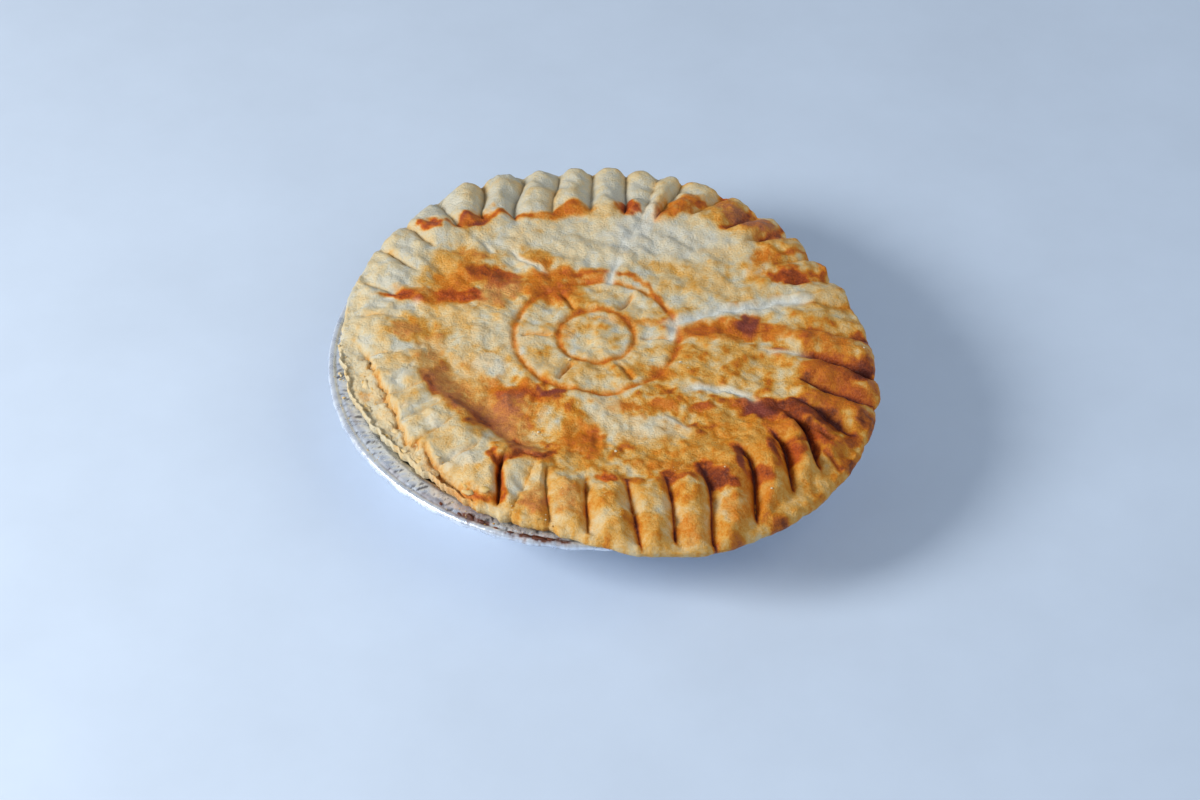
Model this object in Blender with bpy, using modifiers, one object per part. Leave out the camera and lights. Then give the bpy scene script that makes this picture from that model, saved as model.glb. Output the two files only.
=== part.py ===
"""Pot pie with a pinched crust, baked in its own pressed foil tin.

Metres, +Z up. The origin is the centre of the tin's flat base, +X is to the right and +Y is to the back.
Angles are in degrees, anticlockwise from +X as seen from above. The named lengths are in millimetres,
and MM turns them into metres where a vertex is placed.
"""
import math

import bmesh
import bpy
from mathutils import Vector, noise

MM = 0.001

# Foil tin: outer faces of the pressing, then its bead and its pleats
TIN_BASE_RADIUS = 57.0
TIN_CORNER = 3.2
TIN_WALL_TOP_RADIUS = 78.5
TIN_FLANGE_HEIGHT = 27.2
TIN_FLANGE_RADIUS = 85.2
TIN_BEAD_RADIUS = 1.1
TIN_WALL_MIDDLE = 14.0
TIN_WALL_TURN = TIN_FLANGE_HEIGHT - 1.0
TIN_FOIL = 0.5
TIN_PLEATS = 46
TIN_WALL_PLEAT = 0.6
TIN_FLANGE_PLEAT = 0.2

# Pie body inside the tin, and how far its crust stays above the pleated flange and the bead
GAP = 0.35
PIE_BASE_RADIUS = 55.8
PIE_CORNER_TOP = 4.7
FLANGE_CLEARANCE = 0.7
BEAD_CLEARANCE = 0.9
UNDER_RADIUS = TIN_FLANGE_RADIUS + 3.4

# Crust outline: (angle, radius) of the rim seen from above
RIM_RADIUS = [
    (0, 91.8), (12, 89.4), (32, 87.6), (50, 90.2), (67, 92.6), (94, 91.2), (112, 93.0), (124, 92.2), (140, 88.2),
    (159, 85.0), (176, 82.6), (197, 80.9), (212, 80.2), (236, 81.4), (250, 84.4), (262, 85.2), (271, 88.8),
    (281, 93.2), (296, 96.8), (314, 97.8), (333, 96.8), (345, 95.2)]
# Inner ends of the border's flutes, where the crust crests
CREST_RADIUS = [
    (5, 67.0), (25, 71.0), (45, 73.0), (60, 73.0), (72, 66.0), (100, 65.0), (114, 67.0), (124, 73.0), (140, 70.5),
    (160, 66.5), (180, 62.0), (205, 58.5), (225, 59.0), (243, 61.0), (257, 61.5), (270, 65.0), (290, 69.0),
    (311, 67.5), (330, 72.0), (345, 70.0)]
# Outer ends of the grooves: short of the rim at the left ledge and on the front right slope
GROOVE_END_RADIUS = [
    (0, 92.0), (35, 90.0), (60, 94.0), (118, 95.0), (140, 88.0), (160, 82.0), (178, 77.0), (205, 75.5),
    (232, 75.5), (248, 80.0), (262, 82.5), (280, 90.0), (306, 90.0), (318, 90.0), (336, 93.0), (348, 95.0)]
# Heights above the tin's flange: the crest, the rim's round edge, and the rim's underside, which droops past
# the bead at the front right
CREST_RISE = [(0, 8.6), (45, 8.4), (90, 8.6), (140, 8.4), (175, 7.8), (220, 9.0), (260, 8.8), (310, 8.4)]
RIM_RISE = [
    (0, 3.2), (60, 3.6), (95, 3.6), (130, 3.8), (165, 3.8), (200, 4.0), (245, 4.0), (272, 3.6), (296, 1.2),
    (326, 1.0), (345, 2.2)]
UNDER_RISE = [(0, 2.2), (60, 2.4), (270, 2.3), (292, -0.4), (318, -0.8), (338, -0.2), (350, 1.4)]
# Beyond this radius the rim overhangs the tin's bead and is free to droop
OVERHANG_RADIUS = 91.2
RIM_ROUND = 0.9
# How far the rim is drawn in at each groove, so that the flutes end in round tips
SCALLOP = [(0, 1.4), (40, 2.0), (65, 1.8), (90, 1.3), (115, 1.8), (140, 1.0), (165, 0.6), (200, 0.2), (300, 0.5)]

# Pinched border: (angle of the groove at the rim, angle at its inner end, depth)
GROOVES = [
    (3.5, 6.0, 1.7), (14.5, 17.0, 1.3), (24.5, 25.3, 1.7), (32.5, 33.5, 1.9), (41.5, 45.0, 2.2), (51.0, 52.5, 2.2),
    (61.0, 63.3, 2.2), (71.0, 72.0, 2.0), (76.3, 76.2, 0.9), (83.5, 81.5, 2.1), (91.0, 91.7, 1.9),
    (98.5, 103.0, 2.2), (106.5, 114.0, 2.4), (116.0, 122.0, 2.4), (127.0, 129.5, 2.2), (138.0, 140.0, 2.0),
    (148.0, 150.5, 1.7), (160.0, 162.0, 1.4), (172.5, 171.0, 1.2), (186.0, 186.5, 1.0), (203.0, 203.5, 1.3),
    (212.5, 213.8, 1.2), (221.5, 222.0, 0.8), (230.5, 235.0, 1.4), (249.5, 244.3, 3.2), (253.0, 253.6, 0.9),
    (261.5, 257.5, 2.1), (270.0, 269.0, 2.5), (279.8, 278.5, 2.7), (287.5, 290.0, 2.4), (294.6, 298.5, 2.7),
    (305.5, 312.0, 3.8), (315.0, 322.0, 3.3), (323.5, 329.5, 3.5), (336.0, 335.7, 2.8), (344.7, 344.5, 2.8),
    (354.7, 355.5, 3.3)]
FLUTE_SHAPE = 2.4
FLUTE_GAIN = 1.3
GROOVE_SHARE = 0.55
FLUTE_INNER_END = 4.5
FLUTE_OUTER_END = 3.0
# Radii between which the grooves lean from their inner angle to their angle at the rim
LEAN_RADII = (60.0, 92.0)
COLUMN_WIDTH = 2.4
FEWEST_COLUMNS = 4

# Centre of the lid
CENTRE_RISE = 7.0
CREST_WIDTH = 13.0
RING_CENTRE = (1.0, 3.0)
RING_RADII = (27.0, 12.5)
RING_DEPTH = 0.9
RING_WIDTH = 2.2
VENTS = 6
VENT_SPAN = (14.0, 16.0, 23.0, 25.0)
VENT_DEPTH = 1.4
VENT_WIDTH = 1.5
# Creases across the lid: start and end in plan, and depth
CREASES = [
    ((24.0, 8.0), (72.0, 24.0), 1.0), ((26.0, 2.0), (25.0, 8.0), 0.9), ((2.5, 28.0), (20.0, 61.0), 0.8),
    ((31.0, -21.0), (50.0, -29.0), 0.8), ((38.0, -4.0), (68.0, -5.5), 0.6), ((-14.0, -48.0), (8.0, -31.0), 0.7)]
CREASE_WIDTH = 2.0
# Low swellings and hollows of the lid: place in plan, height and radius
SWELLS = [
    ((-38.0, 16.0), 1.0, 14.0), ((38.0, -14.0), 0.8, 16.0), ((42.0, 14.0), 0.9, 13.0), ((10.0, 44.0), 0.7, 14.0),
    ((-44.0, -16.0), -1.8, 13.0), ((-34.0, -36.0), -1.8, 12.0), ((-10.0, -44.0), -1.4, 13.0)]

# Ledge of the lower crust, bare beyond the lid at the left
LEDGE_ANGLES = (180.0, 196.0, 236.0, 250.0)
LEDGE_RADIUS = 75.4
LEDGE_DROP = 2.4
LEDGE_RAGGED = 1.1
LEDGE_RAGGED_PITCH = 9.0
CRAG_HEIGHTS = (0.5, 0.25)
CRAG_SIZES = (8.0, 3.4)

# Rings of the crust's mesh: radii round the pressed mark, shares of the crest radius, shares of the border
LID_RADII = (4.0, 8.5, 11.2, 12.5, 13.8, 17.5, 21.5, 25.5, 27.0, 28.5, 33.0, 38.0, 43.5, 49.0)
NECK_SHARES = (0.87, 0.935)
BORDER_SHARES = (0.0, 0.07, 0.15, 0.27, 0.41, 0.56, 0.71, 0.85, 0.94)
LID_STEP = 3


def smooth(low, high, value):
    """Eased step from 0 at low to 1 at high."""
    share = min(max((value - low) / (high - low), 0.0), 1.0)
    return share * share * (3.0 - 2.0 * share)


def around(points, angle):
    """Value at an angle on the closed, eased curve through (angle, value) points."""
    angle %= 360.0
    turn = points + [(points[0][0] + 360.0, points[0][1])]
    if angle < turn[0][0]:
        angle += 360.0
    for (start, first), (end, last) in zip(turn, turn[1:]):
        if angle <= end:
            return first + (last - first) * smooth(start, end, angle)
    return points[0][1]


def window(limits, value):
    """1 between the two middle limits, easing to 0 at the outer two."""
    return smooth(limits[0], limits[1], value) * (1.0 - smooth(limits[2], limits[3], value))


def distance_to_line(point, start, end):
    """Distance in plan from a point to a straight crease, and how far along it the nearest point is."""
    along = Vector(end) - Vector(start)
    share = min(max((Vector(point) - Vector(start)).dot(along) / along.length_squared, 0.0), 1.0)
    return (Vector(point) - Vector(start) - along * share).length, share


def dent(distance, width):
    """Rounded groove section, 1 on its line."""
    return math.exp(-(distance / width * 1.6) ** 2)


def ring_and_vents(x, y):
    """Depth of the pressed rings and of the short steam vents between them."""
    from_centre = Vector((x - RING_CENTRE[0], y - RING_CENTRE[1]))
    radius = from_centre.length
    depth = RING_DEPTH * max(dent(radius - ring, RING_WIDTH) for ring in RING_RADII)
    turn = 360.0 / VENTS
    bearing = math.degrees(math.atan2(from_centre.y, from_centre.x))
    off = (bearing + turn / 2.0) % turn - turn / 2.0
    sideways = radius * math.sin(math.radians(off))
    length = window(VENT_SPAN, radius)
    return max(depth, VENT_DEPTH * length * dent(sideways, VENT_WIDTH))


def lid_height(x, y):
    """Height of the middle of the lid, with its swellings, creases and pressed mark."""
    height = TIN_FLANGE_HEIGHT + CENTRE_RISE
    for place, rise, reach in SWELLS:
        height += rise * math.exp(-((Vector((x, y)) - Vector(place)).length / reach) ** 2)
    for start, end, depth in CREASES:
        distance, share = distance_to_line((x, y), start, end)
        height -= depth * dent(distance, CREASE_WIDTH) * window((-0.2, 0.15, 0.85, 1.2), share)
    return height - ring_and_vents(x, y)


def flute(position, first, last, radius, angle):
    """Rise of the pinched border above its grooves, at a share of the way from one groove to the next."""
    depth = first[2] + (last[2] - first[2]) * position
    cushion = 1.0 - abs(2.0 * position - 1.0) ** FLUTE_SHAPE
    inner = around(CREST_RADIUS, angle)
    outer = around(GROOVE_END_RADIUS, angle)
    length = window((inner - 2.0, inner + FLUTE_INNER_END, outer - FLUTE_OUTER_END, outer + 1.0), radius)
    return FLUTE_GAIN * depth * (cushion - GROOVE_SHARE) * length


def crag(x, y):
    """Roughness of the baked crust, the same each time."""
    coarse = noise.noise(Vector((x, y, 0.0)) / CRAG_SIZES[0])
    fine = noise.noise(Vector((x, y, 0.0)) / CRAG_SIZES[1])
    return CRAG_HEIGHTS[0] * coarse + CRAG_HEIGHTS[1] * fine


def ledge(angle, radius):
    """Drop from the lid's torn edge to the ledge of the lower crust."""
    side = window(LEDGE_ANGLES, angle % 360.0)
    edge = LEDGE_RADIUS + LEDGE_RAGGED * noise.noise(Vector((angle / LEDGE_RAGGED_PITCH, 0.0, 0.0)))
    return LEDGE_DROP * side * smooth(edge - 0.6, edge + 0.8, radius)


def top_height(angle, radius, rim=None):
    """Height of the crust's upper face, before the flutes."""
    x = radius * math.cos(math.radians(angle))
    y = radius * math.sin(math.radians(angle))
    inner = around(CREST_RADIUS, angle)
    crest = TIN_FLANGE_HEIGHT + around(CREST_RISE, angle)
    if radius <= inner:
        middle = lid_height(x, y)
        height = middle + (crest - middle) * smooth(inner - CREST_WIDTH, inner, radius) ** 1.4
    else:
        share = (radius - inner) / (rim - inner)
        shoulder = TIN_FLANGE_HEIGHT + around(RIM_RISE, angle) + 1.6
        height = crest + (shoulder - crest) * share ** 1.35
    return height - ledge(angle, radius) + crag(x, y)


def columns():
    """The border's mesh columns: each flute's own share of them, with its two grooves."""
    rows = []
    for index, first in enumerate(GROOVES):
        last = GROOVES[(index + 1) % len(GROOVES)]
        if last[0] < first[0]:
            last = (last[0] + 360.0, last[1] + 360.0, last[2])
        width = math.radians(last[0] - first[0]) * TIN_WALL_TOP_RADIUS
        count = max(FEWEST_COLUMNS, round(width / COLUMN_WIDTH))
        rows += [(step / count, first, last) for step in range(count)]
    return rows[:len(rows) - len(rows) % LID_STEP]


def column_angle(column, radius):
    """Angle of a column at a radius: the grooves lean between their inner ends and the rim."""
    position, first, last = column
    lean = smooth(*LEAN_RADII, radius)
    start = first[1] + (first[0] - first[1]) * lean
    end = last[1] + (last[0] - last[1]) * lean
    return start + (end - start) * position


def tin_floor(radius):
    """Lowest the crust's underside may come over the tin's flange and bead."""
    lift = FLANGE_CLEARANCE + BEAD_CLEARANCE * smooth(TIN_WALL_TOP_RADIUS, UNDER_RADIUS, radius)
    return TIN_FLANGE_HEIGHT + TIN_FOIL + lift


def place(bm, angle, radius, height):
    """One vertex from its polar place in millimetres."""
    turn = math.radians(angle)
    return bm.verts.new((radius * math.cos(turn) * MM, radius * math.sin(turn) * MM, height * MM))


def lid_ring(bm, rows, radius):
    """One ring of the lid, round the pressed mark's centre near it and round the axis farther out."""
    shift = Vector(RING_CENTRE) * (1.0 - smooth(RING_RADII[0] + 3.0, LID_RADII[-1], radius))
    ring = []
    for column in rows:
        turn = math.radians(column_angle(column, radius))
        point = shift + Vector((math.cos(turn), math.sin(turn))) * radius
        angle = math.degrees(math.atan2(point.y, point.x))
        ring.append(place(bm, angle, point.length, top_height(angle, point.length)))
    return ring


def neck_ring(bm, rows, share):
    """One ring on the lid's rise to the crest, at a share of the crest's radius."""
    angles = [column_angle(column, LEAN_RADII[0]) for column in rows]
    radii = [around(CREST_RADIUS, angle) * share for angle in angles]
    return [place(bm, angle, radius, top_height(angle, radius)) for angle, radius in zip(angles, radii)]


def border_ring(bm, rows, share):
    """One ring of the pinched border, at a share of the way from the crest to the rim."""
    ring = []
    for column in rows:
        angle = column_angle(column, LEAN_RADII[0] + (LEAN_RADII[1] - LEAN_RADII[0]) * share)
        crest = around(CREST_RADIUS, angle)
        rim = rim_radius(column, angle)
        radius = crest + (rim - crest) * share
        height = top_height(angle, radius, rim) + flute(*column, radius, angle)
        ring.append(place(bm, angle, radius, height))
    return ring


def rim_radius(column, angle):
    """Radius of the rim, drawn in at each groove."""
    pinch = abs(2.0 * column[0] - 1.0) ** FLUTE_SHAPE
    depth = min((column[1][2] + column[2][2]) / 4.0, 1.0)
    return around(RIM_RADIUS, angle) + 0.5 - around(SCALLOP, angle) * pinch * depth


def rim_rings(bm, rows):
    """The rim's round edge: its shoulder, its widest ring, its lower edge and the underside over the bead."""
    shoulder, widest, lower, under = [], [], [], []
    for column in rows:
        angle = column_angle(column, LEAN_RADII[1])
        rim = rim_radius(column, angle)
        rise = 0.5 * flute(*column, rim - 4.0, angle)
        middle = TIN_FLANGE_HEIGHT + around(RIM_RISE, angle)
        bottom = TIN_FLANGE_HEIGHT + around(UNDER_RISE, angle)
        if rim < OVERHANG_RADIUS:
            middle = max(middle, tin_floor(rim) + 1.2)
            bottom = tin_floor(rim - RIM_ROUND)
        shoulder.append(place(bm, angle, rim - 0.8 * RIM_ROUND, middle + RIM_ROUND + rise))
        widest.append(place(bm, angle, rim, middle + 0.3 * rise))
        lower.append(place(bm, angle, rim - RIM_ROUND, min(bottom, middle - 0.6)))
        inner = min(rim - 1.8 * RIM_ROUND, UNDER_RADIUS)
        under.append(place(bm, angle, inner, tin_floor(inner)))
    return [shoulder, widest, lower, under]


def stitch(bm, outer, inner):
    """Faces between two rings; the outer one has as many or a whole multiple of the inner one's vertices."""
    ratio = len(outer) // len(inner)
    for index, here in enumerate(inner):
        following = inner[(index + 1) % len(inner)]
        edge = [outer[(index * ratio + step) % len(outer)] for step in range(ratio + 1)]
        if ratio == 1:
            bm.faces.new((here, edge[0], edge[1], following))
            continue
        for start, end in zip(edge[:ratio // 2 + 1], edge[1:ratio // 2 + 1]):
            bm.faces.new((here, start, end))
        bm.faces.new((here, edge[ratio // 2], following))
        for start, end in zip(edge[ratio // 2:], edge[ratio // 2 + 1:]):
            bm.faces.new((following, start, end))


def cap(bm, ring, height, upward):
    """Fan that closes a ring round the axis."""
    centre = place(bm, 0.0, 0.0, height)
    for start, end in zip(ring, ring[1:] + ring[:1]):
        bm.faces.new((centre, start, end) if upward else (centre, end, start))


def tin_wall_radius(height):
    """Outer radius of the tin's wall at a height."""
    share = (height - TIN_CORNER) / (TIN_FLANGE_HEIGHT - TIN_CORNER)
    return TIN_BASE_RADIUS + TIN_CORNER + (TIN_WALL_TOP_RADIUS - TIN_BASE_RADIUS - TIN_CORNER) * share


def build_pie(collection):
    """One solid: crust and filling, lofted ring by ring because its border and its lid have unlike sections."""
    bm = bmesh.new()
    rows = columns()
    rings = [lid_ring(bm, rows[::LID_STEP], radius) for radius in LID_RADII]
    cap(bm, rings[0], lid_height(0.0, 0.0), True)
    rings += [neck_ring(bm, rows, share) for share in NECK_SHARES]
    rings += [border_ring(bm, rows, share) for share in BORDER_SHARES]
    rings += rim_rings(bm, rows)
    for inner, outer in zip(rings, rings[1:]):
        stitch(bm, outer, inner)

    clear = TIN_FOIL + TIN_WALL_PLEAT + GAP
    levels = [
        (TIN_WALL_TOP_RADIUS - clear, tin_floor(TIN_WALL_TOP_RADIUS)),
        (tin_wall_radius(TIN_WALL_TURN) - clear, TIN_WALL_TURN),
        (tin_wall_radius(PIE_CORNER_TOP) - clear - GAP, PIE_CORNER_TOP),
        (PIE_BASE_RADIUS, TIN_FOIL + GAP)]
    below = [rings[-1]]
    for radius, height in levels:
        below.append([place(bm, column_angle(row, LEAN_RADII[1]), radius, height) for row in rows[::LID_STEP]])
    stitch_down(bm, below)
    cap(bm, below[-1], TIN_FOIL + GAP, False)
    return finish(bm, "pie", collection, pastry_material())


def stitch_down(bm, rings):
    """Faces of the underside and side, with the rings given from the rim down."""
    for upper, lower in zip(rings, rings[1:]):
        before = set(bm.faces)
        stitch(bm, upper, lower)
        bmesh.ops.reverse_faces(bm, faces=[face for face in bm.faces if face not in before])


def build_tin(collection):
    """Pressed foil tin: a turned half section, pleated, then given the foil's thickness."""
    bead = (TIN_FLANGE_RADIUS, TIN_FLANGE_HEIGHT - TIN_BEAD_RADIUS)
    section = [(0.0, 0.0), (TIN_BASE_RADIUS, 0.0), (TIN_BASE_RADIUS + TIN_CORNER * 0.7, TIN_CORNER * 0.3)]
    section += [(tin_wall_radius(height), height) for height in (TIN_CORNER, TIN_WALL_MIDDLE, TIN_WALL_TURN)]
    section.append((TIN_WALL_TOP_RADIUS + 1.0, TIN_FLANGE_HEIGHT))
    for turn in (90.0, 30.0, -30.0, -90.0):
        section.append((bead[0] + TIN_BEAD_RADIUS * math.cos(math.radians(turn)),
                        bead[1] + TIN_BEAD_RADIUS * math.sin(math.radians(turn))))

    curve = bpy.data.meshes.new("foil_tin_section")
    points = [(radius * MM, 0.0, height * MM) for radius, height in reversed(section)]
    curve.from_pydata(points, [(index, index + 1) for index in range(len(points) - 1)], [])
    turned = bpy.data.objects.new("foil_tin_section", curve)
    collection.objects.link(turned)
    screw = turned.modifiers.new("turn", "SCREW")
    screw.steps = TIN_PLEATS * 2
    screw.render_steps = TIN_PLEATS * 2
    screw.use_merge_vertices = True
    screw.merge_threshold = 0.00002
    bpy.context.view_layer.update()
    evaluated = turned.evaluated_get(bpy.context.evaluated_depsgraph_get())
    mesh = bpy.data.meshes.new_from_object(evaluated)
    bpy.data.objects.remove(turned)
    flatten_base(mesh)
    pleat(mesh)

    mesh.name = "foil_tin"
    tin = bpy.data.objects.new("foil_tin", mesh)
    collection.objects.link(tin)
    tin.data.materials.clear()
    tin.data.materials.append(foil_material())
    solidify = tin.modifiers.new("foil", "SOLIDIFY")
    solidify.thickness = TIN_FOIL * MM
    solidify.offset = -1.0
    return tin


def flatten_base(mesh):
    """Makes the tin's flat base one face, in place of the wedges that the turning leaves round its centre."""
    bm = bmesh.new()
    bm.from_mesh(mesh)
    centre = min(bm.verts, key=lambda vertex: vertex.co.length)
    bmesh.ops.dissolve_verts(bm, verts=[centre])
    bm.to_mesh(mesh)
    bm.free()


def pleat(mesh):
    """Presses the pleats: every other column of the wall goes in, and every other column of the flange goes up."""
    for vertex in mesh.vertices:
        radius = math.hypot(vertex.co.x, vertex.co.y) / MM
        height = vertex.co.z / MM
        angle = math.degrees(math.atan2(vertex.co.y, vertex.co.x))
        side = math.cos(math.radians(angle * TIN_PLEATS))
        wall = window((2.0, 8.0, TIN_FLANGE_HEIGHT - 3.0, TIN_FLANGE_HEIGHT), height)
        flange = window((TIN_WALL_TOP_RADIUS, TIN_WALL_TOP_RADIUS + 2.0, 90.0, 91.0), radius)
        if radius > 1.0:
            scale = 1.0 + side * wall * TIN_WALL_PLEAT / radius
            vertex.co.x *= scale
            vertex.co.y *= scale
        vertex.co.z += side * flange * TIN_FLANGE_PLEAT * MM


def pastry_material():
    return material("pastry_crust", (0.80, 0.56, 0.26), 0.62, 0.0)


def foil_material():
    return material("tin_foil", (0.82, 0.82, 0.85), 0.28, 1.0)


def material(name, colour, roughness, metallic):
    """Principled material with the piece's own colour."""
    made = bpy.data.materials.new(name)
    made.use_nodes = True
    shader = made.node_tree.nodes["Principled BSDF"]
    shader.inputs["Base Color"].default_value = (*colour, 1.0)
    shader.inputs["Roughness"].default_value = roughness
    shader.inputs["Metallic"].default_value = metallic
    return made


def finish(bm, name, collection, surface):
    """Turns the loft into a named object with its material."""
    bmesh.ops.recalc_face_normals(bm, faces=bm.faces)
    mesh = bpy.data.meshes.new(name)
    bm.to_mesh(mesh)
    bm.free()
    mesh.shade_smooth()
    mesh.set_sharp_from_angle(angle=math.radians(50.0))
    mesh.materials.append(surface)
    made = bpy.data.objects.new(name, mesh)
    collection.objects.link(made)
    return made


def main():
    for old in list(bpy.data.objects):
        bpy.data.objects.remove(old)
    collection = bpy.data.collections.new("pot_pie")
    bpy.context.scene.collection.children.link(collection)
    build_pie(collection)
    build_tin(collection)


main()
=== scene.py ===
"""Pot pie with a pinched crust in its pressed foil tin: its fine surfaces, its finishes and a plain stage.

The file is laid out as an add-on, with one operator for each piece. The tables are in millimetres, and MM
turns them into metres. Angles are in degrees, anticlockwise from +X seen from above, and +Y is to the back.
"""
import math
import random

import bmesh
import bpy
import numpy as np
from bpy.props import FloatProperty, FloatVectorProperty, IntProperty, PointerProperty
from mathutils import Matrix, Vector, noise
from mathutils.geometry import interpolate_bezier


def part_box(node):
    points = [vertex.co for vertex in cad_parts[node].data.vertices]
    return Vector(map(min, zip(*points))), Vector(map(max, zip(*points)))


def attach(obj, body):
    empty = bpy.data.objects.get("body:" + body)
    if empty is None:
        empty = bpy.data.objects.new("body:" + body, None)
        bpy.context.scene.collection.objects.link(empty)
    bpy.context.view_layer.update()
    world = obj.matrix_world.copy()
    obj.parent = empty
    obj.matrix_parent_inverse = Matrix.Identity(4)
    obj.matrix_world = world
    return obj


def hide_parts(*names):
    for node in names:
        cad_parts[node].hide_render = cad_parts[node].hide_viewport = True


bl_info = {
    "name": "Pot pie in a foil tin",
    "version": (1, 0, 0),
    "blender": (4, 5, 0),
    "location": "View3D > Sidebar > Pot Pie",
    "description": "Builds a baked pot pie with a pinched crust, its foil tin, its crumbs and a plain stage",
    "category": "Add Mesh",
}

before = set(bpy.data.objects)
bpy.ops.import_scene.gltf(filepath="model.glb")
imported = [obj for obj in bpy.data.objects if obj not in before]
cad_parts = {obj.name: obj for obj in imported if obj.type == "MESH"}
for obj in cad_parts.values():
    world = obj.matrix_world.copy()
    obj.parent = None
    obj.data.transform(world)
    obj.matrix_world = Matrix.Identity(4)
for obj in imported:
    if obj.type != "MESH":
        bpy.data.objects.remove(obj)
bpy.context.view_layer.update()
MM = 0.001

# Foil tin, measured down from the top of its solid
TIN_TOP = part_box("foil_tin")[1][2] / MM
TIN_FLANGE_PLEAT = 0.2
TIN_FOIL = 0.5
TIN_FLANGE_HEIGHT = TIN_TOP - TIN_FOIL - TIN_FLANGE_PLEAT
TIN_BASE_RADIUS = 57.0
TIN_CORNER = 3.2
TIN_WALL_TOP_RADIUS = 78.5
TIN_FLANGE_RADIUS = 85.2
TIN_BEAD_RADIUS = 1.1
TIN_PLEATS = 46
TIN_WALL_PLEAT = 0.6
TIN_WALL_RINGS = (4.0, 8.0, 14.0, 20.0, 24.2, 26.2)
FLANGE_RINGS = 12
BEAD_RINGS = 14
FOLD_SPACING = (0.35, 1.1)

# Pie body inside the tin
GAP = 0.35
PIE_BASE_RADIUS = 55.8
PIE_CORNER_TOP = 4.7
FLANGE_CLEARANCE = 0.7
BEAD_CLEARANCE = 0.9
UNDER_RADIUS = TIN_FLANGE_RADIUS + 3.4

# Crust outline: (angle, radius) of the rim seen from above
RIM_RADIUS = [
    (0, 91.8), (12, 89.4), (32, 87.6), (50, 90.2), (67, 92.6), (94, 91.2), (112, 93), (124, 92.2),
    (140, 88.2), (159, 85), (176, 82.6), (197, 81), (206, 79.8), (215, 78.6), (225, 78.4), (235, 79.2),
    (243, 81), (251, 82.4), (261, 83), (266, 85.4), (271, 88.6), (281, 93.2), (296, 96.8), (314, 97.8),
    (333, 96.8), (345, 95.2)]
# Inner ends of the border's flutes, where the crust crests
CREST_RADIUS = [
    (5, 67), (25, 71), (45, 73), (60, 73), (72, 66), (100, 65), (114, 67), (124, 73), (140, 70.5),
    (160, 66.5), (180, 62), (205, 58.5), (225, 59), (243, 61), (257, 61.5), (270, 65), (290, 69), (311, 67.5),
    (330, 72), (345, 70)]
# Outer ends of the grooves: short of the rim at the left ledge and on the front right slope
GROOVE_END_RADIUS = [
    (0, 92), (35, 90), (60, 94), (118, 95), (140, 88), (160, 82), (178, 77), (205, 75.5), (232, 75.5),
    (248, 80), (262, 82.5), (280, 92), (287, 91.5), (294, 97), (303, 93.5), (313, 90.5), (322, 91), (330, 92),
    (348, 94)]
# Heights above the tin's flange: the crest, the rim's round edge, and the rim's underside
CREST_RISE = [(0, 8.6), (45, 8), (90, 7.7), (140, 8), (175, 7.8), (220, 9), (260, 8.8), (310, 8.4)]
RIM_RISE = [
    (0, 3.2), (60, 3.6), (95, 3.6), (130, 3.8), (165, 3.8), (200, 4), (245, 4), (272, 3.6), (296, 1.2),
    (326, 1), (345, 2.2)]
UNDER_RISE = [(0, 2.2), (60, 2.4), (270, 2.3), (292, -0.4), (318, -0.8), (338, -0.2), (350, 1.4)]
OVERHANG_RADIUS = 91.2
RIM_ROUND = 0.9
RIM_STEPS = (62.0, 35.0, 10.0, -20.0, -55.0, -90.0)
SHOULDER_RISE = 1.6
BORDER_SLOPE = 1.35
# How far the rim is drawn in at each groove, so that the flutes end in round tips
SCALLOP = [(0, 1.4), (40, 2), (65, 1.8), (90, 1.3), (115, 1.8), (140, 1), (165, 0.6), (200, 0.2), (300, 0.5)]

# Pinched border: (angle of the groove at the rim, angle at its inner end, depth)
GROOVES = [
    (3.5, 6, 1.7), (14.5, 17, 1.3), (24.5, 25.3, 1.7), (32.5, 33.5, 1.9), (41.5, 45, 2.2), (51, 52.5, 2.2),
    (61, 63.3, 2.4), (71, 72, 2.4), (76.3, 76.2, 1.2), (83.5, 81.5, 2.7), (91, 91.7, 2.6), (98.5, 103, 2.8),
    (106.5, 114, 2.9), (116, 122, 2.8), (127, 129.5, 2.5), (138, 140, 2.2), (148, 150.5, 1.9),
    (160, 162, 1.5), (172.5, 171, 1.2), (186, 186.5, 1), (203, 203.5, 1.3), (212.5, 213.8, 1.2),
    (221.5, 222, 0.8), (230.5, 235, 1.4), (249.5, 244.3, 2.7), (253, 253.6, 0.9), (261.5, 257.5, 2.1),
    (270, 269, 2.5), (280.2, 280, 2.7), (287, 290.2, 2.6), (294, 300.5, 2.8), (303.4, 314, 3.8),
    (313.2, 324, 3.4), (321.5, 331.5, 3.6), (335, 337.5, 2.8), (344.9, 345, 2.8), (353.2, 356.2, 3.8)]
FLUTE_GAIN = 1.55
GROOVE_SHARE = 0.55
FLUTE_INNER_END = 4.5
FLUTE_OUTER_END = 3.0
LEAN_RADII = (60.0, 92.0)
# How square the flutes are: flat plates between thin cracks at the left, round pillows elsewhere
FLUTE_SHAPE = [
    (0, 2.4), (60, 2.2), (110, 2.2), (150, 4), (185, 9), (236, 9), (256, 2.5), (300, 2.1), (335, 2.1)]
FLUTE_VARIETY = 0.16

# Centre of the lid
CENTRE_RISE = 7.0
CREST_WIDTH = 13.0
CREST_SLOPE = 1.4
RING_CENTRE = (1.0, 3.0)
RING_RADII = (27.0, 12.5)
RING_DEPTH = 0.9
RING_WIDTH = 1.8
VENTS = 6
VENT_SPAN = (14.0, 16.0, 23.0, 25.0)
VENT_DEPTH = 1.4
VENT_WIDTH = 1.4
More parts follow.
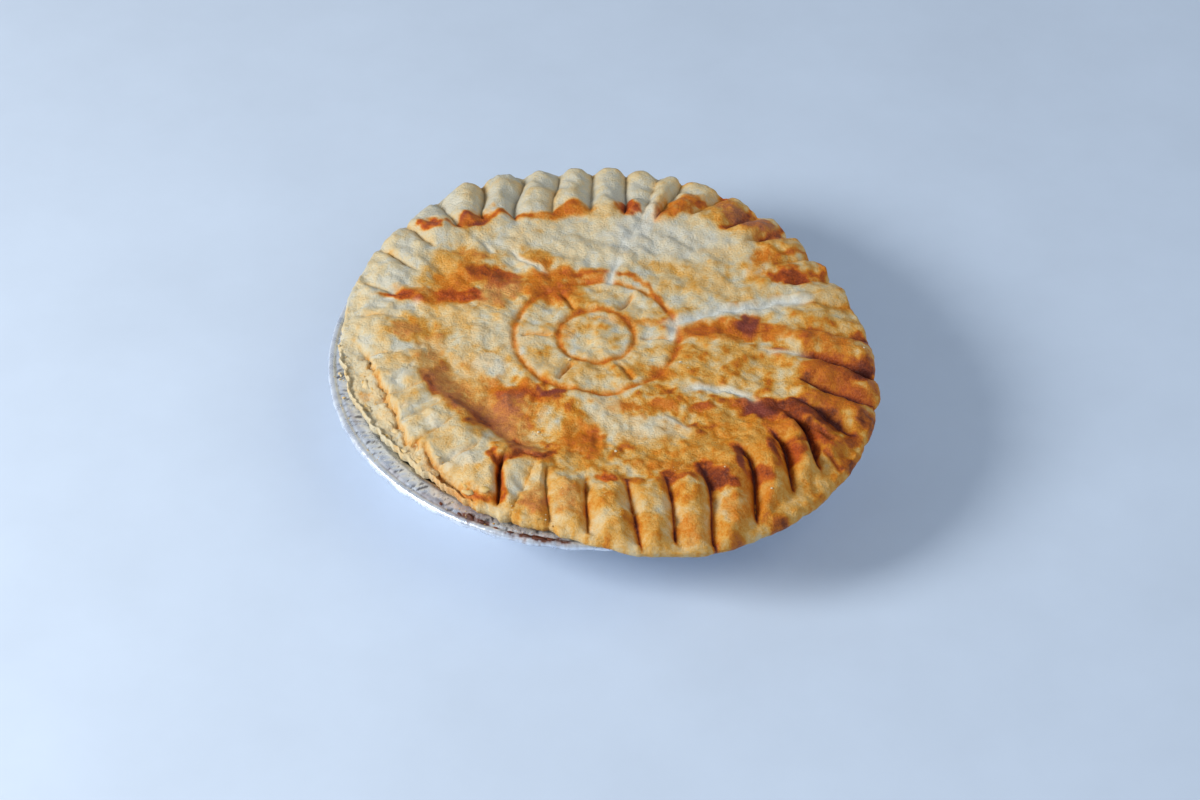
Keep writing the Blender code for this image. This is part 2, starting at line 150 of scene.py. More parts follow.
# Creases: points in plan, depth, width and how pale they stay
CREASES = [
    ([(25.5, 1), (25.6, 9.5)], 0.8, 1.9, 0.9),
    ([(24, 9.5), (40, 15), (53, 18.5), (63, 22), (72, 23.5)], 1.3, 2.3, 1),
    ([(3.6, 28), (6.5, 35), (8.2, 41.5)], 0.6, 1.9, 0.9),
    ([(8.2, 44), (12, 54), (17, 60), (19.5, 69)], 0.8, 3.6, 0.35),
    ([(30.5, -22), (38, -21.6), (46, -23.2), (52.5, -26.8)], 0.9, 1.9, 0.85),
    ([(-28.5, 46), (-24, 39.5), (-17, 34.5)], 0.6, 1.3, 0.6), ([(-39, 49), (-34, 43.5)], 0.5, 1.3, 0.4),
    ([(56, -3), (70, -5)], 0.5, 1.6, 0.5), ([(21, -35.5), (28, -38), (31, -41.5)], -0.5, 1.3, 0.4),
    ([(-66, 13), (-58, 17)], 0.5, 1.6, 0.4), ([(57, -42), (62, -46), (66, -46), (69.5, -42)], 0.9, 1.2, 0),
    ([(62, -31), (66, -38), (72, -40.5), (78, -43.5)], 1.3, 1.8, 0),
    ([(73, -47), (76, -50), (78.5, -54)], 0.9, 1.2, 0),
    ([(-28.5, -57), (-28, -64), (-26.5, -75)], 1.6, 1.7, 0),
    ([(-30.5, -53), (-29, -58.5), (-25, -57), (-21, -54.5), (-15, -55.5), (-12, -51)], 0.9, 1.3, 0),
    ([(-25, -53.5), (-22, -48), (-24, -44)], 0.8, 1.2, 0),
    ([(-64, -22), (-60, -18), (-57.5, -13)], 0.7, 0.9, 0.3),
    ([(-61, -35.5), (-55, -33), (-49.5, -31)], 0.8, 0.9, 0.3),
    ([(-52.5, -44.5), (-47.5, -42)], 0.7, 0.9, 0.3),
    ([(-47.5, -58.5), (-43, -55), (-38.5, -51.5)], 0.8, 1, 0.3), ([(-58.2, -6.4), (-56, -4)], 1.2, 1.6, 0.2)]
# Low swellings and hollows of the lid: place in plan, height and radius
SWELLS = [
    ((-38, 16), 1, 14), ((38, -14), 0.8, 16), ((42, 14), 0.9, 13), ((10, 44), 0.7, 14),
    ((-45, -18), -2.6, 12), ((-33, -36), -3, 11), ((-18, -46), -2, 11), ((2, -44), -0.8, 12)]

# Torn edge of the lid over the ledge of the lower crust: (angle, radius)
TORN_EDGE = [
    (170, 81), (180, 77.4), (188, 72.8), (196, 71.6), (202, 71.2), (208, 71), (214, 71.5), (219, 73),
    (224, 73.8), (229, 74.6), (235, 76.6), (241, 79.4), (252, 84)]
LEDGE_ANGLES = (176.0, 188.0, 236.0, 248.0)
LEDGE_RADIUS = 76.0
LEDGE_DROP = 2.0
CREVICE_DEPTH = 1.4
CREVICE_WIDTH = 1.2
LAYER_WIDTH = 2.6
LAYER_STEP = 0.6
# Radii at which the unevenness of the torn edge and of the rim is taken
TORN_ROUGH_RADIUS = 80.0
RIM_ROUGH_RADIUS = 85.0
CURVE_STEPS = 7

# Browning, and a few patches of painted shade on shaded slopes, painted in this order: tone, place in plan,
# half length, half width, turn and cover
BROWNING = [
    # The earth patch at (-45, 40) is painted shade on the shaded slope by the back left border
    ("ochre", (42, -12), 28, 12, 0, 0.45), ("earth", (-45, 40), 10, 6, 0, 0.7),
    ("cream", (8, 50), 44, 12, 0, 0.7), ("pale", (24, 52), 20, 9, -8, 0.7),
    ("white", (14, 60), 15, 5, 66, 0.4), ("white", (48, 17), 22, 3.2, 14, 0.4),
    ("cream", (-30, 2), 12, 7, 0, 0.6), ("pale", (-33, -11), 7, 4, -20, 0.8),
    ("gold", (36, 30), 17, 7, -22, 0.6), ("ochre", (22, 38), 8, 3, -10, 0.7),
    ("ochre", (33, 33), 6, 3, -35, 0.5), ("gold", (44, 46), 10, 3, 0, 0.6),
    ("ochre", (-14, 26), 14, 11, -20, 0.9), ("orange", (-16, 26), 10, 7, -15, 0.9),
    ("rust", (-12, 24), 6, 3.5, 0, 0.5), ("orange", (-5, 33), 16, 3.6, 0, 0.9),
    ("rust", (-5, 33.5), 10, 1.4, 4, 0.8), ("ochre", (-46, 30), 11, 14, 0, 0.9),
    ("orange", (-47, 31), 7, 9, 0, 0.6), ("ochre", (-20, 42), 8, 4, -35, 1),
    ("orange", (-16, 38), 5, 2.6, -40, 0.7), ("gold", (-50, 38), 6, 5, 0, 0.7),
    ("tan", (-30, 27), 6, 8, 0, 0.8), ("rust", (-34, 31.5), 9, 5.5, -8, 0.8),
    ("brown", (-35, 33), 7.5, 3.2, -4, 0.75), ("orange", (-45, 26), 5, 5, 0, 0.7),
    ("orange", (-54, 20), 16, 4.6, -4, 0.8), ("tan", (-35, 20), 6, 5, 0, 0.7),
    ("red", (-45, 20.5), 8.5, 3.4, -4, 1), ("red", (-63, 20), 6.5, 2.8, -12, 1),
    ("gold", (-46, 10), 9, 7, 0, 0.7), ("ochre", (-59, 4), 9, 6.5, -10, 1), ("tan", (-62, 3), 5, 4, 0, 0.6),
    ("tan", (-51, -3), 3.4, 7, 0, 0.6), ("gold", (-40, -8), 9, 5, -30, 0.5),
    ("orange", (42, 6.5), 17, 5.5, 4, 0.95), ("rust", (37, 6), 7, 2.6, 0, 0.7),
    ("orange", (61, 5), 7, 4, -20, 0.7), ("rust", (51.5, 9), 6, 5.6, 0, 0.8),
    ("scorched", (51.5, 9), 3.7, 4.6, 0, 1), ("orange", (13, 10.5), 13, 2.4, -3, 0.6),
    ("orange", (-9, 4), 3.5, 3.5, 0, 0.5), ("gold", (-12, -12), 16, 5, -15, 0.6),
    ("ochre", (12, -15), 7, 3.5, 30, 0.6), ("orange", (21, -13), 2.4, 4, 20, 0.8),
    ("orange", (-24, -24.5), 12, 4.5, -8, 0.95), ("red", (-24, -25), 8, 2.6, -8, 0.8),
    ("orange", (-32, -20), 4, 3.5, 40, 0.8), ("scorched", (-13, -24.5), 3.6, 2.4, -10, 1),
    ("cream", (16, -41), 17, 7, -6, 0.6), ("pale", (20, -40), 9, 5, -10, 0.3),
    ("pale", (4, -30), 5, 7, -30, 0.4), ("ochre", (22, -30), 17, 4, 0, 0.35),
    ("orange", (13, -30.5), 5, 3, 0, 1), ("orange", (23.5, -29.5), 4.6, 2.8, 0, 1),
    ("rust", (35.5, -30.5), 4.6, 3, 0, 1), ("ochre", (-4, -49), 9, 13, 0, 0.9),
    ("orange", (-3, -46), 7, 9, 0, 0.9), ("rust", (0, -44), 3.4, 3, 0, 0.6), ("rust", (0, -53), 2, 3, 0, 0.5),
    ("gold", (-5, -55), 3, 4, 0, 0.7), ("ochre", (-6, -37), 4, 6, 20, 0.6),
    ("ochre", (30, -52), 24, 8, 8, 0.6), ("ochre", (22, -56), 5, 3, 0, 0.6),
    # The tan patch at (-42, -18) and the earth patch at (-28, -33) are painted shade on the sunk slope at the
    # left
    ("tan", (-42, -18), 8, 9, 55, 0.4), ("earth", (-28, -33), 9, 8, -40, 0.65),
    ("gold", (-36, -24), 8, 3, -40, 0.5), ("orange", (-18, -33), 3, 7, -20, 0.4),
    ("ochre", (52, -44), 20, 12, -32, 0.8), ("ochre", (46, -58), 16, 9, -30, 0.7),
    ("ochre", (70, -62), 12, 5, -45, 0.4), ("orange", (60, -38), 8, 4, -30, 0.9),
    ("orange", (80, -23), 9, 6, 0, 0.8), ("orange", (34, -60), 20, 4, -8, 0.5),
    ("gold", (62, -68), 16, 6, -45, 0.6), ("gold", (74, -56), 14, 6, -55, 0.6),
    ("orange", (52, -70), 5, 6, 0, 0.5), ("umber", (46, -53), 1.8, 5.5, 14, 1),
    ("umber", (58, -50), 1.6, 6, 16, 0.9), ("rust", (53, -60), 4.5, 3.4, -20, 0.95),
    ("brown", (54, -59), 2.6, 1.8, -20, 0.7), ("red", (64, -50), 5, 3.6, -35, 1),
    ("red", (72, -42), 6.5, 1.8, -28, 1), ("umber", (71, -47), 1.2, 4, 15, 0.9),
    ("brown", (60, -31), 14, 5, -8, 1), ("scorched", (54, -31), 5, 3.4, 0, 1),
    ("umber", (62, -29), 7, 2.8, 0, 0.9), ("umber", (72, -34), 6, 3.8, -45, 0.9),
    ("brown", (83, -41), 3, 2, 0, 0.7), ("brown", (35.5, -58.5), 2.8, 4.6, 10, 1),
    ("umber", (41, -64), 4.6, 3.8, -15, 1), ("red", (44, -66), 2.4, 1.8, -15, 0.8),
    ("brown", (25, -63.5), 4.4, 3, -14, 1), ("rust", (30.5, -64), 4, 1.8, 0, 0.9),
    ("red", (5.8, -65.5), 3.4, 2.8, -20, 0.9), ("scorched", (47, -55), 1.4, 5, 15, 0.7),
    ("orange", (-8, 66), 8, 4.2, 12, 1), ("rust", (-6, 67), 4, 2.2, 0, 0.6),
    ("red", (10.5, 68), 4.4, 4.8, 0, 1), ("gold", (2, 66), 8, 4, 0, 0.6),
    ("orange", (28, 69.5), 10.5, 4.8, 38, 1), ("brown", (36, 72), 1.8, 2.4, -30, 0.8),
    ("ochre", (46, 65), 11, 8, -40, 0.9), ("earth", (55, 62), 10, 5, -42, 0.85),
    ("earth", (47, 68), 7, 4, -42, 0.6), ("orange", (56.5, 43), 3.8, 4.4, 10, 0.9),
    ("orange", (65, 34), 9, 5, 0, 0.9), ("red", (65, 33.5), 7, 3.6, 0, 1),
    ("brown", (65.5, 35), 4, 1.8, 0, 0.8), ("orange", (77, 42), 2.2, 5.5, 10, 0.8),
    ("orange", (54, 36), 3, 4, 0, 0.4), ("red", (-56, 57), 3.6, 5, 35, 1),
    ("brown", (-55, 56), 1.4, 2.4, 35, 0.6), ("rust", (-41, 60.5), 8.5, 4.2, 20, 1),
    ("scorched", (-42, 59.5), 5.6, 3.2, 20, 0.9), ("orange", (77, 2), 9, 5, -10, 0.8),
    ("rust", (70, 3), 2.4, 2, 0, 0.6), ("umber", (80, -7.5), 11, 1.7, -18, 0.9),
    ("brown", (88, 5), 3, 3.4, 0, 0.9), ("rust", (80, -12), 11, 7, -15, 0.8),
    ("orange", (82, -24), 9, 6, 0, 0.8), ("umber", (88, -11), 3.5, 6, -20, 1),
    ("orange", (73, -14), 6, 3, -10, 0.7), ("rust", (86, -20), 5, 3, -30, 0.8),
    ("orange", (-16, -75.5), 4, 3, 0, 0.6), ("orange", (-5, -77), 5, 3.4, 0, 0.5),
    ("ochre", (8, -85), 6, 3, 0, 0.5), ("ochre", (19, -84), 4.5, 5, 0, 0.7),
    ("orange", (32, -83), 6, 5, 0, 0.6), ("orange", (45, -76), 4, 6, 10, 0.55),
    ("tan", (-17, -73), 4, 6, 0, 0.6), ("tan", (-7, -73), 3.4, 6, 0, 0.5),
    ("ochre", (-40, -62), 8, 5, -35, 0.5), ("orange", (-72.5, -26), 2.4, 1.8, 0, 0.9),
    ("ochre", (-64, -13), 4.5, 5, 20, 0.45), ("ochre", (-46, -49), 4, 6, 0, 0.5),
    ("gold", (-58, -31), 4, 3, 40, 0.6), ("gold", (-69, -4), 3, 6, 0, 0.5),
    ("gold", (-55, -38), 3, 5, -40, 0.4), ("pale", (-62, -20), 4, 3, 30, 0.7),
    ("pale", (-50, -41), 4, 3, -30, 0.7), ("pale", (-40, -57), 6, 4, -20, 0.6),
    ("gold", (36, -80), 5, 6, 0, 0.6)]
# Browned lines, and bands of browning with painted shade on the slope at the left, painted after the patches:
# tone, points in plan, width and cover
BROWN_LINES = [
    ("orange", [(-47, 56), (-41, 61), (-30, 63), (-20, 62.4), (-14, 64.5), (-6, 66)], 1.7, 0.9),
    ("brown", [(-34, 63), (-28, 63.6), (-22, 62.2)], 0.8, 0.6),
    ("rust", [(8, 33.6), (14, 32), (18, 28), (22, 22), (23.5, 17)], 0.9, 0.8),
    # The tan and earth bands down the slope at the left are browning and painted shade of the slope together
    ("tan", [(-54, -10), (-48, -22), (-41, -29), (-32, -36), (-25, -44), (-20, -51)], 6, 0.6),
    ("earth", [(-54, -18), (-50, -25), (-42, -31), (-34, -37), (-27, -44), (-22, -51)], 2.4, 0.6),
    ("umber", [(-53, -20), (-51.5, -24), (-50, -28)], 0.9, 0.7),
    ("umber", [(-45, -29), (-41, -31)], 1.2, 0.5), ("umber", [(-37, -35), (-33, -38)], 2.6, 0.8),
    ("umber", [(-25, -44), (-23, -48), (-22, -51)], 1, 0.6),
    ("brown", [(-30.5, -54), (-29, -58.5), (-25, -57), (-21, -54.5), (-15, -55.5), (-12, -52)], 1.4, 0.85),
    ("red", [(-28, -60), (-27, -67), (-26, -74)], 0.9, 0.95),
    ("orange", [(-50.5, -58.5), (-47, -63), (-42, -68), (-36, -71), (-30, -73)], 2.2, 0.95),
    ("rust", [(-44, -67), (-39, -70), (-31, -73)], 0.8, 0.9),
    ("brown", [(43, 59), (49, 63), (53, 69)], 1, 0.8),
    ("brown", [(57, 55), (62, 58.5), (64.5, 64)], 1.2, 0.85), ("brown", [(43.2, 76), (43.6, 82)], 1, 0.7),
    ("brown", [(52, 68), (53.5, 73)], 1, 0.7), ("brown", [(62, 44.5), (67, 47), (71, 49)], 1, 0.7),
    ("brown", [(73, 36), (77, 36.5)], 1, 0.8)]
# Tones: how browned, how red, how scorched and how pale, from 0 to 1. Tan and earth are greyed with scorch
# and paleness, so that they also serve as painted shade on the shaded slopes at the left
TONES = {
    "white": (0.04, 0.0, 0.0, 0.85), "pale": (0.07, 0.0, 0.0, 0.4), "cream": (0.14, 0.0, 0.0, 0.1),
    "gold": (0.38, 0.0, 0.0, 0.0), "ochre": (0.52, 0.0, 0.0, 0.0), "tan": (0.62, 0.0, 0.08, 0.10),
    "earth": (0.79, 0.0, 0.05, 0.08),
    "orange": (0.62, 0.45, 0.0, 0.0), "rust": (0.72, 0.6, 0.1, 0.0), "red": (0.76, 0.9, 0.0, 0.0),
    "brown": (0.83, 0.6, 0.0, 0.0), "umber": (0.90, 0.6, 0.04, 0.0), "scorched": (0.86, 0.5, 0.85, 0.0)}
# Browning of the border and of the lid near it, before the patches: (angle, amount)
BORDER_BROWNING = [
    (0, 0.5), (20, 0.34), (40, 0.38), (58, 0.42), (66, 0.2), (80, 0.08), (120, 0.05), (150, 0.07),
    (180, 0.14), (205, 0.16), (235, 0.18), (250, 0.26), (262, 0.36), (275, 0.38), (300, 0.44), (318, 0.56),
    (340, 0.64), (350, 0.62)]
CENTRE_BROWNING = 0.25
LID_BROWNING = [
    (0, 0.34), (30, 0.22), (60, 0.14), (90, 0.1), (120, 0.18), (150, 0.24), (180, 0.22), (215, 0.42),
    (240, 0.46), (265, 0.4), (290, 0.42), (315, 0.54), (340, 0.4)]

# Grain shared by the finishes: how fine, how detailed and how rough each size of it is
GRAINS = {"Mottle": (330.0, 4.0, 0.62), "Specks": (1150.0, 3.0, 0.6), "Bumps": (1500.0, 5.0, 0.68)}

# Baked-on juice that stains the foil: place in plan, half length, half width, turn and strength
FOIL_STAINS = [
    ((-36, -75.5), 8, 1.9, -26, 0.9), ((-15, -83.4), 10, 1.6, -10, 1), ((-48, -68), 7, 1.2, -36, 0.5),
    ((-62, -56), 6, 0.9, -48, 0.35), ((-76, -32), 6, 0.8, -67, 0.3), ((6, -84), 8, 1.4, 4, 0.6)]
# Lumps of dark juice baked onto the foil: place in plan, half length, turn
JUICE_LUMPS = [
    (-36.5, -75.6, 2.2, -26), (-33, -77, 1.3, -20), (-40, -73.8, 1, -30), (-19, -82.6, 1.8, -14),
    (-15.2, -83.5, 2.4, -9), (-11.6, -84, 1.4, -6), (-24, -81.4, 1, -20), (-28.5, -79.6, 0.8, -22),
    (-46, -69.6, 0.7, -36)]
# Crumbs on the lid: place in plan, size and browning
LID_CRUMBS = [
    (28.5, -10.5, 0.95, 0), (8, -51.5, 0.95, 0), (-7.5, -9.2, 1.1, 0.2), (-16.5, -41, 0.9, 0.05),
    (-15.5, -42, 0.6, 0.1), (-17.6, -42, 0.55, 0.15), (-18.4, -40.6, 0.4, 0.1), (56.5, -67.5, 0.8, 0.05),
    (42, -60.5, 0.6, 0.1), (31, -13, 0.35, 0), (-2, -62, 0.5, 0.2), (88.5, -1.5, 0.7, 0)]
# Crumbs scattered over the ledge and the flange: angles, radii, how many, sizes and browning
CRUMB_SCATTER = [
    ((170, 218), (81, 85.3), 22, (0.25, 0.6), (0.05, 0.25)),
    ((180, 196), (80, 84), 8, (0.7, 1.2), (0.1, 0.25)),
    ((184, 236), (72.5, 79.5), 26, (0.25, 0.6), (0.1, 0.45)),
    ((236, 263), (80, 84.5), 26, (0.25, 0.7), (0.05, 0.6)),
    ((258, 300), (64, 83), 40, (0.15, 0.4), (0.05, 0.4))]
# Height from which what lies loose is dropped onto the pie
DROP_HEIGHT = 90.0
# Flakes of torn crust: how many corners each has, and their angles, radii and how many
FLAKE_CORNERS = 11
FLAKE_SCATTER = [((186, 232), (73, 75), 9), ((188, 234), (75.5, 78), 10), ((238, 248), (77, 80), 3)]


def ease(low, high, value):
    """Eased step from 0 at low to 1 at high, which may be the smaller of the two."""
    share = np.clip((value - low) / (high - low), 0.0, 1.0)
    return share * share * (3.0 - 2.0 * share)


def window(limits, value):
    """1 between the two middle limits, easing to 0 at the outer two."""
    return ease(limits[0], limits[1], value) * (1.0 - ease(limits[2], limits[3], value))


def around(points, angle):
    """Values at angles on the closed, eased curve through (angle, value) points."""
    turn = [(points[-1][0] - 360.0, points[-1][1])] + points + [(points[0][0] + 360.0, points[0][1])]
    knots = np.array([point[0] for point in turn])
    values = np.array([point[1] for point in turn])
    angle = np.asarray(angle) % 360.0
    index = np.clip(np.searchsorted(knots, angle, side="right") - 1, 0, len(knots) - 2)
    share = ease(knots[index], knots[index + 1], angle)
    return values[index] + (values[index + 1] - values[index]) * share


def rough(x, y, size, layer):
    """Smooth roughness of a size in millimetres, about -1 to 1. Each layer is a fixed pattern of its own."""
    return np.array([noise.noise((a / size, b / size, layer)) for a, b in zip(x, y)])


def roughs(x, y, *layers):
    """Sum of roughnesses, each given by its amount, size and layer."""
    return sum(amount * rough(x, y, size, layer) for amount, size, layer in layers)


def plan(angle, radius):
    """Places in plan at angles and radii."""
    turn = np.radians(angle)
    return radius * np.cos(turn), radius * np.sin(turn)


def patch_reach(x, y, place, length, width, turn):
    """How far out the points lie in a turned oval patch: 0 in its middle and 1 on its edge."""
    cos, sin = math.cos(math.radians(turn)), math.sin(math.radians(turn))
    off_x, off_y = x - place[0], y - place[1]
    return np.hypot((off_x * cos + off_y * sin) / length, (off_y * cos - off_x * sin) / width)


def dent(distance, width):
    """Rounded groove section, 1 on its line."""
    return np.exp(-(distance / width * 1.6) ** 2)


def distance_to_path(x, y, path):
    """Distance in plan from points to a path, and how far along the path the nearest place is."""
    nearest = np.full(x.shape, np.inf)
    along = np.zeros(x.shape)
    for index, ((ax, ay), (bx, by)) in enumerate(zip(path, path[1:])):
        length = (bx - ax) ** 2 + (by - ay) ** 2
        share = np.clip(((x - ax) * (bx - ax) + (y - ay) * (by - ay)) / length, 0.0, 1.0)
        distance = np.hypot(x - ax - share * (bx - ax), y - ay - share * (by - ay))
        along = np.where(distance < nearest, (index + share) / (len(path) - 1), along)
        nearest = np.minimum(nearest, distance)
    return nearest, along


def ring_lines(x, y):
    """How deep the points lie in the pressed rings, from 0 to 1."""
    radius = np.hypot(x - RING_CENTRE[0], y - RING_CENTRE[1])
    return np.maximum(*(dent(radius - ring, RING_WIDTH) for ring in RING_RADII))


def vent_lines(x, y):
    """How deep the points lie in the short steam vents, from 0 to 1."""
    radius = np.hypot(x - RING_CENTRE[0], y - RING_CENTRE[1])
    turn = 360.0 / VENTS
    bearing = np.degrees(np.arctan2(y - RING_CENTRE[1], x - RING_CENTRE[0]))
    off = (bearing + turn / 2.0) % turn - turn / 2.0
    sideways = radius * np.sin(np.radians(off))
    return window(VENT_SPAN, radius) * dent(sideways, VENT_WIDTH)


def lid_height(x, y):
    """Height of the middle of the lid, with its swellings, creases and pressed rings."""
    height = np.full(x.shape, TIN_FLANGE_HEIGHT + CENTRE_RISE)
    for place, rise, reach in SWELLS:
        height += rise * np.exp(-(np.hypot(x - place[0], y - place[1]) / reach) ** 2)
    return height - np.maximum(RING_DEPTH * ring_lines(x, y), VENT_DEPTH * vent_lines(x, y))


def curved(path):
    """A smooth path through the points of a path."""
    places = [Vector(place) for place in path]
    places = [2 * places[0] - places[1], *places, 2 * places[-1] - places[-2]]
    smooth = []
    for before, start, end, after in zip(places, places[1:], places[2:], places[3:]):
        leave, arrive = start + (end - before) / 6.0, end - (after - start) / 6.0
        smooth += interpolate_bezier(start, leave, arrive, end, CURVE_STEPS)[:-1]
    return [tuple(place) for place in smooth] + [tuple(path[-1])]


def wandering(x, y):
    """The places nudged aside unevenly, so that lines drawn through them wander."""
    aside = roughs(x, y, (1.2, 8.0, 3.0), (0.3, 2.4, 4.0))
    return x + aside, y - 0.8 * aside


def creases(x, y):
    """Depth of the creases over the whole crust."""
    depth = np.zeros(x.shape)
    off_x, off_y = wandering(x, y)
    for path, deep, width, _pale in CREASES:
        distance, along = distance_to_path(off_x, off_y, curved(path))
        depth += deep * dent(distance, width) * window((-0.1, 0.16, 0.84, 1.1), along)
    return depth


def torn_edge(angle):
    """Radius of the lid's torn edge over the ledge of the lower crust."""
    x, y = plan(angle, TORN_ROUGH_RADIUS)
    return around(TORN_EDGE, angle) + 1.6 * rough(x, y, 6.0, 5.0) + rough(x, y, 2.2, 6.0)


def crag(x, y):
    """Roughness of the baked crust: swells, blisters and crumb."""
    coarse = roughs(x, y, (1.3, 12.0, 0.0), (1.05, 6.0, 0.0), (0.65, 3.2, 0.0))
    pebbles = (0.3 - np.abs(rough(x, y, 3.8, 11.0))) * pebbled(x, y)
    blisters = 0.22 * np.abs(rough(x, y, 2.6, 14.0)) + 0.16 * rough(x, y, 1.7, 12.0)
    calmer_back = 1.0 - 0.5 * ease(10.0, 40.0, y)
    return coarse + pebbles + blisters * calmer_back + 0.08 * rough(x, y, 1.1, 13.0)


def pebbled(x, y):
    """Where the lid is pebbled: 1 along the front and at the front right, 0 at the back."""
    angle = np.degrees(np.arctan2(y, x)) % 360.0
    return window((225.0, 262.0, 325.0, 350.0), angle) * ease(34.0, 46.0, np.hypot(x, y))


class Columns:
    """The mesh's columns: where each stands between its two grooves."""

    def __init__(self, width):
        positions, firsts, lasts, flutes = [], [], [], []
        for index, first in enumerate(GROOVES):
            last = GROOVES[(index + 1) % len(GROOVES)]
            if last[0] < first[0]:
                last = (last[0] + 360.0, last[1] + 360.0, last[2])
            span = math.radians(last[0] - first[0]) * OVERHANG_RADIUS
            count = max(8, 4 * round(span / width / 4.0))
            positions += [step / count for step in range(count)]
            firsts += [first] * count
            lasts += [last] * count
            flutes += [index] * count
        self.position = np.array(positions)
        self.first = np.array(firsts)
        self.last = np.array(lasts)
        self.flute = np.array(flutes)

    def every(self, step):
        """The same columns thinned out, one in every step."""
        thin = Columns.__new__(Columns)
        thin.position, thin.flute = self.position[::step], self.flute[::step]
        thin.first, thin.last = self.first[::step], self.last[::step]
        return thin

    def angle(self, radius):
        """Angles at a radius: the grooves lean between their inner ends and the rim."""
        lean = ease(*LEAN_RADII, radius)
        start = self.first[:, 1] + (self.first[:, 0] - self.first[:, 1]) * lean
        end = self.last[:, 1] + (self.last[:, 0] - self.last[:, 1]) * lean
        return start + (end - start) * self.position

    def depth(self):
        """Depth of the border's grooves beside each column, a little different for each flute."""
        draw = random.Random(7)
        variety = np.array([1.0 + FLUTE_VARIETY * draw.uniform(-1.0, 1.0) for _groove in GROOVES])
        return (self.first[:, 2] + (self.last[:, 2] - self.first[:, 2]) * self.position) * variety[self.flute]

    def groove(self, angle):
        """1 in the grooves, 0 on the flutes between them."""
        return np.abs(2.0 * self.position - 1.0) ** around(FLUTE_SHAPE, angle)


def flute(columns, radius, angle):
    """Rise of the pinched border above its grooves."""
    inner = around(CREST_RADIUS, angle)
    outer = around(GROOVE_END_RADIUS, angle)
    length = window((inner - 2.0, inner + FLUTE_INNER_END, outer - FLUTE_OUTER_END, outer + 1.0), radius)
    return FLUTE_GAIN * columns.depth() * (1.0 - columns.groove(angle) - GROOVE_SHARE) * length


def rim_radius(columns, angle):
    """Radius of the rim, drawn in at each groove."""
    depth = np.minimum((columns.first[:, 2] + columns.last[:, 2]) / 4.0, 1.0)
    pinch = np.abs(2.0 * columns.position - 1.0) ** 2.4
    torn = 0.35 + window((172.0, 184.0, 256.0, 266.0), angle % 360.0)
    ragged = torn * roughs(*plan(angle, RIM_ROUGH_RADIUS), (0.9, 5.0, 42.0), (0.8, 1.9, 43.0))
    return around(RIM_RADIUS, angle) + 0.5 + ragged - around(SCALLOP, angle) * pinch * depth


def ledge_share(angle):
    """1 along the ledge of the lower crust, 0 round the rest of the pie."""
    return window(LEDGE_ANGLES, angle % 360.0)


def ledge_drop(angle, radius):
    """Drop from the lid's torn edge to the ledge: a step, a broken crevice at its foot and torn layers."""
    x, y = plan(angle, radius)
    beyond = radius - torn_edge(angle)
    step = LEDGE_DROP * ease(-0.3, 0.5, beyond)
    broken = ease(-0.35, 0.15, rough(x, y, 3.6, 7.0))
    crevice = CREVICE_DEPTH * broken * dent(beyond - 0.6, CREVICE_WIDTH)
    layers = ease(0.4, 1.2, beyond) * torn_layers(angle, beyond)
    return ledge_share(angle) * (step + crevice + layers)


def torn_layers(angle, beyond):
    """Steps of the torn layers on the ledge: long and ragged, and laid along the tear."""
    along = np.radians(angle) * LEDGE_RADIUS
    levels = beyond / LAYER_WIDTH + 2.4 * rough(along, 2.2 * beyond, 4.6, 8.0)
    levels += 1.2 * rough(along, 1.6 * beyond, 1.9, 9.0)
    return LAYER_STEP * (np.floor(levels) + ease(0.2, 0.55, levels % 1.0) - levels)


def top_height(angle, radius, rim=None):
    """Height of the crust's upper face, before the flutes."""
    x, y = plan(angle, radius)
    inner = around(CREST_RADIUS, angle)
    crest = TIN_FLANGE_HEIGHT + around(CREST_RISE, angle)
    if rim is None:
        middle = lid_height(x, y)
        height = middle + (crest - middle) * ease(inner - CREST_WIDTH, inner, radius) ** CREST_SLOPE
    else:
        share = np.clip((radius - inner) / (rim - inner), 0.0, 1.0)
        lower = 0.5 * window((30.0, 60.0, 120.0, 150.0), angle % 360.0)
        shoulder = TIN_FLANGE_HEIGHT + around(RIM_RISE, angle) + SHOULDER_RISE - lower
        height = crest + (shoulder - crest) * share ** BORDER_SLOPE
    return height - ledge_drop(angle, radius) - creases(x, y) + crag(x, y)


def tin_floor(radius):
    """Lowest the crust's underside may come over the tin's flange and bead."""
    lift = FLANGE_CLEARANCE + BEAD_CLEARANCE * ease(TIN_WALL_TOP_RADIUS, UNDER_RADIUS, radius)
    return TIN_FLANGE_HEIGHT + TIN_FOIL + lift


def tin_wall_radius(height):
    """Outer radius of the tin's wall at a height."""
    share = (height - TIN_CORNER) / (TIN_FLANGE_HEIGHT - TIN_CORNER)
    return TIN_BASE_RADIUS + TIN_CORNER + (TIN_WALL_TOP_RADIUS - TIN_BASE_RADIUS - TIN_CORNER) * share


